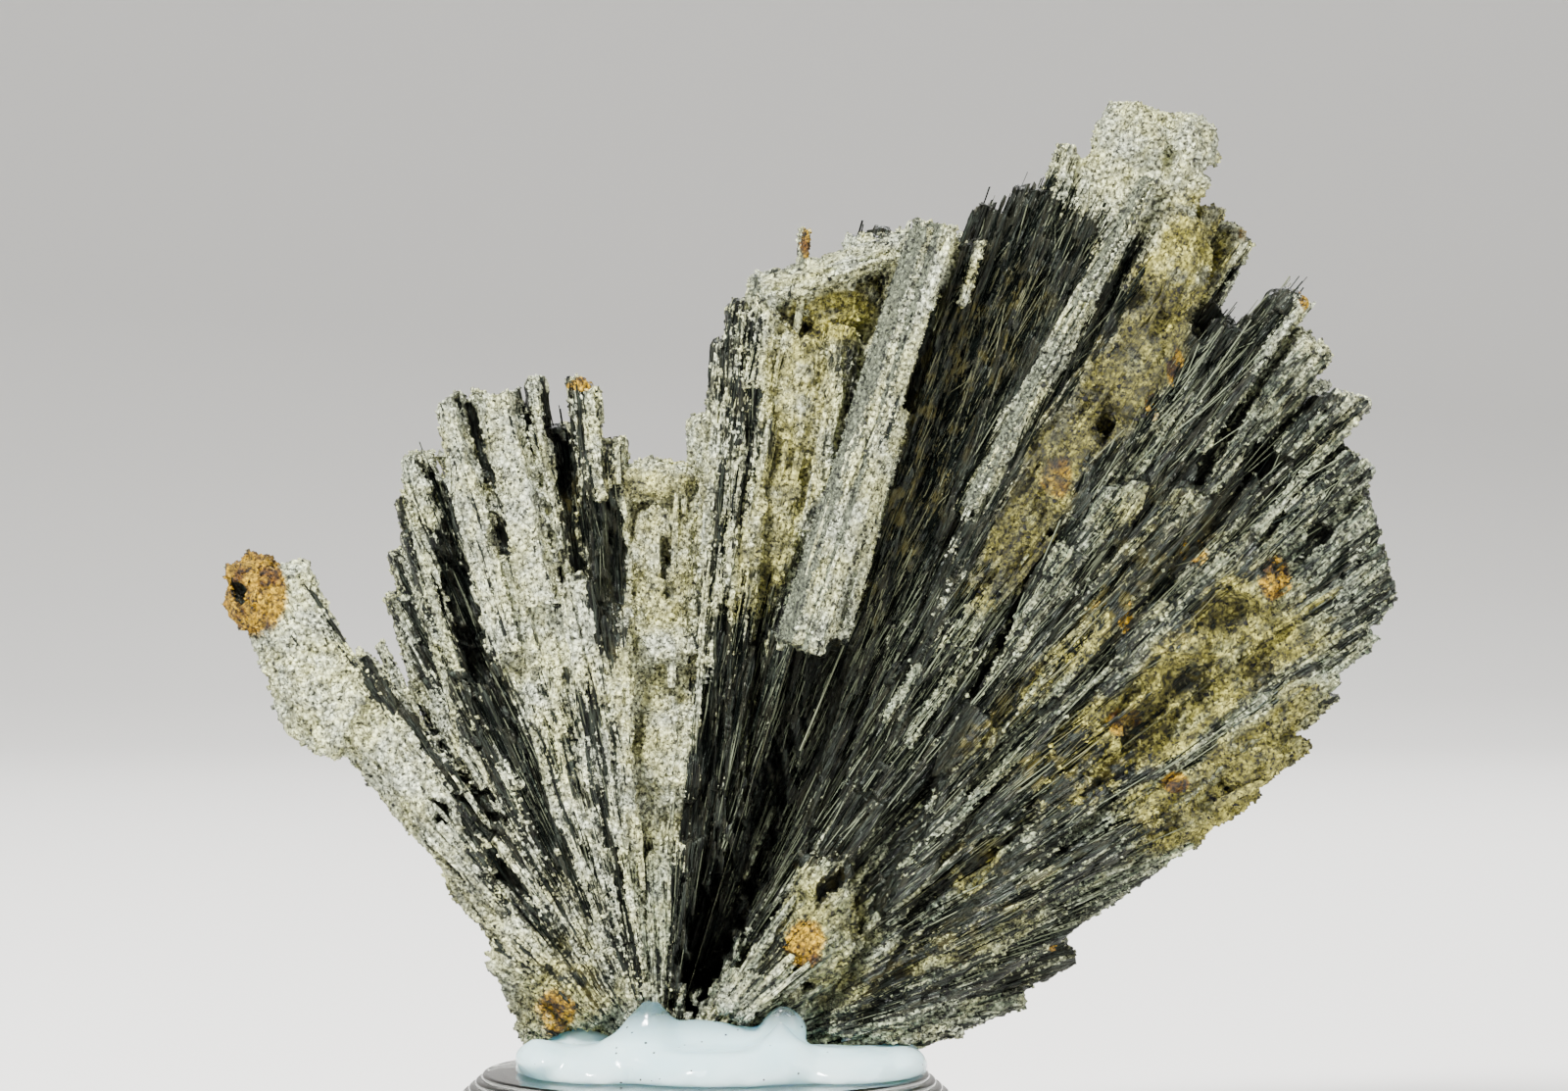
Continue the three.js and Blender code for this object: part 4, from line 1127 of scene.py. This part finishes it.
# The adhesive and the base.
def adhesive_piece(material):
    bm = cad_solid("adhesive_mound")
    for vert in bm.verts:
        vert.co.z = min(vert.co.z, 10.3)
    for x, y, z, half_x, half_y, half_z in ADHESIVE_LOBES:
        made = bmesh.ops.create_uvsphere(bm, u_segments=24, v_segments=12, radius=1.0)["verts"]
        bmesh.ops.scale(bm, vec=(half_x, half_y, half_z), verts=made)
        bmesh.ops.translate(bm, vec=(x, y, z), verts=made)
    piece = remeshed(new_object("adhesive_blob", mesh_of(bm, "adhesive_blob")), 0.22)
    smooth = piece.modifiers.new("smooth", "SMOOTH")
    smooth.factor = 0.6
    smooth.iterations = 16
    applied(piece)
    points = points_of(piece.data)
    floor_z, top_z = [corner.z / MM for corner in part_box("adhesive_mound")]
    risen = smooth_step(floor_z, floor_z + 1.2, points[:, 2])
    for x, y, height, wide_x, wide_y in ADHESIVE_PEAKS:
        off = np.hypot((points[:, 0] - x) / wide_x, (points[:, 1] - y) / wide_y)
        points[:, 2] += height * risen * np.exp(-np.hypot(off, 0.35) + 0.35)
    points[:, 2] = np.clip(points[:, 2], floor_z, top_z)
    piece.data.vertices.foreach_set("co", points.ravel())
    finish_piece(piece, material)
    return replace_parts(piece, "adhesive_mound")


def base_piece(material):
    low, high = [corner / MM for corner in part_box("clear_base")]
    radius = high.x
    height = high.z
    groove = 0.45
    bead = 0.3
    outline = [(0, 0), (radius - 0.4, 0), (radius - 0.12, 0.12), (radius, 0.4)]
    for z in (1.8, 3.4, 5.0):
        for step in range(9):
            turn = math.pi * step / 8
            outline.append((radius - groove * math.sin(turn), z - groove * math.cos(turn)))
    for index in range(5):
        centre_r = radius - bead - 0.42 * index
        centre_z = height - 1.85 + 0.38 * index
        for step in range(7):
            turn = math.radians(-18 + 134 * step / 6)
            outline.append((centre_r + bead * math.cos(turn), centre_z + bead * math.sin(turn)))
    outline.append((radius - 3.0, height))
    outline.append((0, height))
    bm = bmesh.new()
    verts = [bm.verts.new((r, 0, z)) for r, z in outline]
    edges = [bm.edges.new(pair) for pair in zip(verts, verts[1:])]
    bmesh.ops.spin(
        bm, geom=verts + edges, axis=(0, 0, 1), cent=(0, 0, 0), angle=2 * math.pi, steps=144, use_merge=True
    )
    bmesh.ops.remove_doubles(bm, verts=bm.verts, dist=1e-4)
    bmesh.ops.recalc_face_normals(bm, faces=bm.faces)
    for face in bm.faces:
        face.smooth = abs(face.normal.z) < 0.98
    piece = finish_piece(new_object("moulded_base", mesh_of(bm, "moulded_base")), material)
    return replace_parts(piece, "clear_base")


# Camera, floor and lights.
def camera():
    data = bpy.data.cameras.new("camera")
    view = bpy.data.objects.new("camera", data)
    bpy.context.scene.collection.objects.link(view)
    aim = Vector((0.005, 0.0, 0.0418))
    distance = 0.4
    view_width = 0.1
    elevation = math.radians(1.5)
    back = Vector((0, -math.cos(elevation), math.sin(elevation)))
    view.location = aim + back * distance
    view.rotation_euler = (math.pi / 2 - elevation, 0, 0)
    data.sensor_width = 36
    data.lens = 36 * distance / view_width
    data.clip_start = 0.01
    data.clip_end = 20
    bpy.context.scene.camera = view


def floor():
    """A pale sheet that lies under the object and curves up behind it."""
    material, tree = new_material("pale_floor")
    surface = add(tree, "ShaderNodeBsdfPrincipled", {"Base Color": linear("#eeece8"), "Roughness": 0.9})
    add(tree, "ShaderNodeOutputMaterial", {"Surface": surface})
    bm = bmesh.new()
    half = 2.0
    profile = [(-half, 0.0), (0.5, 0.0)]
    for step in range(1, 13):
        turn = math.pi / 2 * step / 12
        profile.append((0.5 + 0.5 * math.sin(turn), 0.5 - 0.5 * math.cos(turn)))
    profile.append((1.0, half))
    verts = [bm.verts.new((-half, y, z)) for y, z in profile]
    edges = [bm.edges.new(pair) for pair in zip(verts, verts[1:])]
    made = bmesh.ops.extrude_edge_only(bm, edges=edges)
    moved = [v for v in made["geom"] if isinstance(v, bmesh.types.BMVert)]
    bmesh.ops.translate(bm, vec=(2 * half, 0, 0), verts=moved)
    bmesh.ops.recalc_face_normals(bm, faces=bm.faces)
    for face in bm.faces:
        face.smooth = True
    mesh = mesh_of(bm, "floor")
    mesh.materials.append(material)
    new_object("floor", mesh)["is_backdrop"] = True


def light(name, place, size, energy):
    data = bpy.data.lights.new(name, "AREA")
    data.size = size
    data.energy = energy
    lamp = bpy.data.objects.new(name, data)
    bpy.context.scene.collection.objects.link(lamp)
    lamp.location = place
    aim = Vector((0.005, 0, 0.04)) - Vector(place)
    lamp.rotation_euler = aim.to_track_quat("-Z", "Y").to_euler()


def studio():
    world = bpy.data.worlds.new("studio")
    world.use_nodes = True
    background = world.node_tree.nodes["Background"]
    background.inputs["Color"].default_value = linear("#e8e8e6")
    background.inputs["Strength"].default_value = 0.27
    bpy.context.scene.world = world
    light("key", (-0.14, -0.3, 0.4), 0.09, 9.5)
    light("fill", (0.36, -0.3, 0.16), 0.3, 1.8)
    light("low", (-0.3, -0.4, 0.14), 0.25, 1.2)
    light("back", (0.1, 0.36, 0.4), 0.3, 4.0)


camera()
floor()
studio()
rng = np.random.default_rng(SEED)
crust_material = crusted_stibnite()
needle_material = bare_stibnite()
relief = relief_nodes()
whole = whole_spray(relief)
trees = [surface_tree(whole)]
standing = standing_crystals(trees, relief, rng)
trees.append(surface_tree(standing))
bodies = sectors_of(whole, SECTORS, SECTOR_ANGLES)
bodies += sectors_of(standing, STANDING_SIDES, [STANDING_CUT])

needle_shape = template(4, 0)
lath_shape = template(6, 5)
for label, side in (("front", -1), ("back", 1)):
    bars = lying_bars(trees, rng, NEEDLE_TRIES, side, (1.0, 4), where_bare)
    needles = "needles_" + label
    bar_set(needles, needle_shape, bars, (0.05, 0.12), (0.08, 0.2), 0.0, rng, needle_material, side, 0.03)
    bars = lying_bars(trees, rng, LATH_TRIES, side, (2, 6), where_crusted)
    bar_set("laths_" + label, lath_shape, bars, (0.25, 0.6), (0.3, 0.6), 0.05, rng, crust_material, side, 0.1)
bars = rim_bars(trees, rng, RIM_NEEDLE_TRIES, (3, 8), (-0.3, 1.4), where_rim_is_bare)
bar_set("rim_needles", needle_shape, bars, (0.07, 0.16), (0.1, 0.2), 0.0, rng, needle_material)
bars = rim_bars(trees, rng, RIM_LATH_TRIES, (2, 5), (-0.8, 0.25), where_rim_is_crusted)
bar_set("rim_laths", lath_shape, bars, (0.4, 0.8), (0.4, 0.8), 0.05, rng, crust_material)
bars = comb_bars(COMBS, rng)
bar_set("comb_laths", lath_shape, bars, (0.18, 0.4), (0.2, 0.5), 0.03, rng, crust_material)

for body in bodies:
    finish_piece(body, crust_material)
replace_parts(bodies[0], "stibnite_spray")
grains("crust_grains_coarse", bodies, rng, COARSE_GRAINS, (0.12, 0.22), crust_material)
grains("crust_grains_fine", bodies, rng, FINE_GRAINS, (0.07, 0.13), crust_material)
adhesive_piece(white_adhesive())
base_piece(clear_plastic())

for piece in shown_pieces():
    print("PIECE", piece.name, len(piece.data.polygons), "faces")
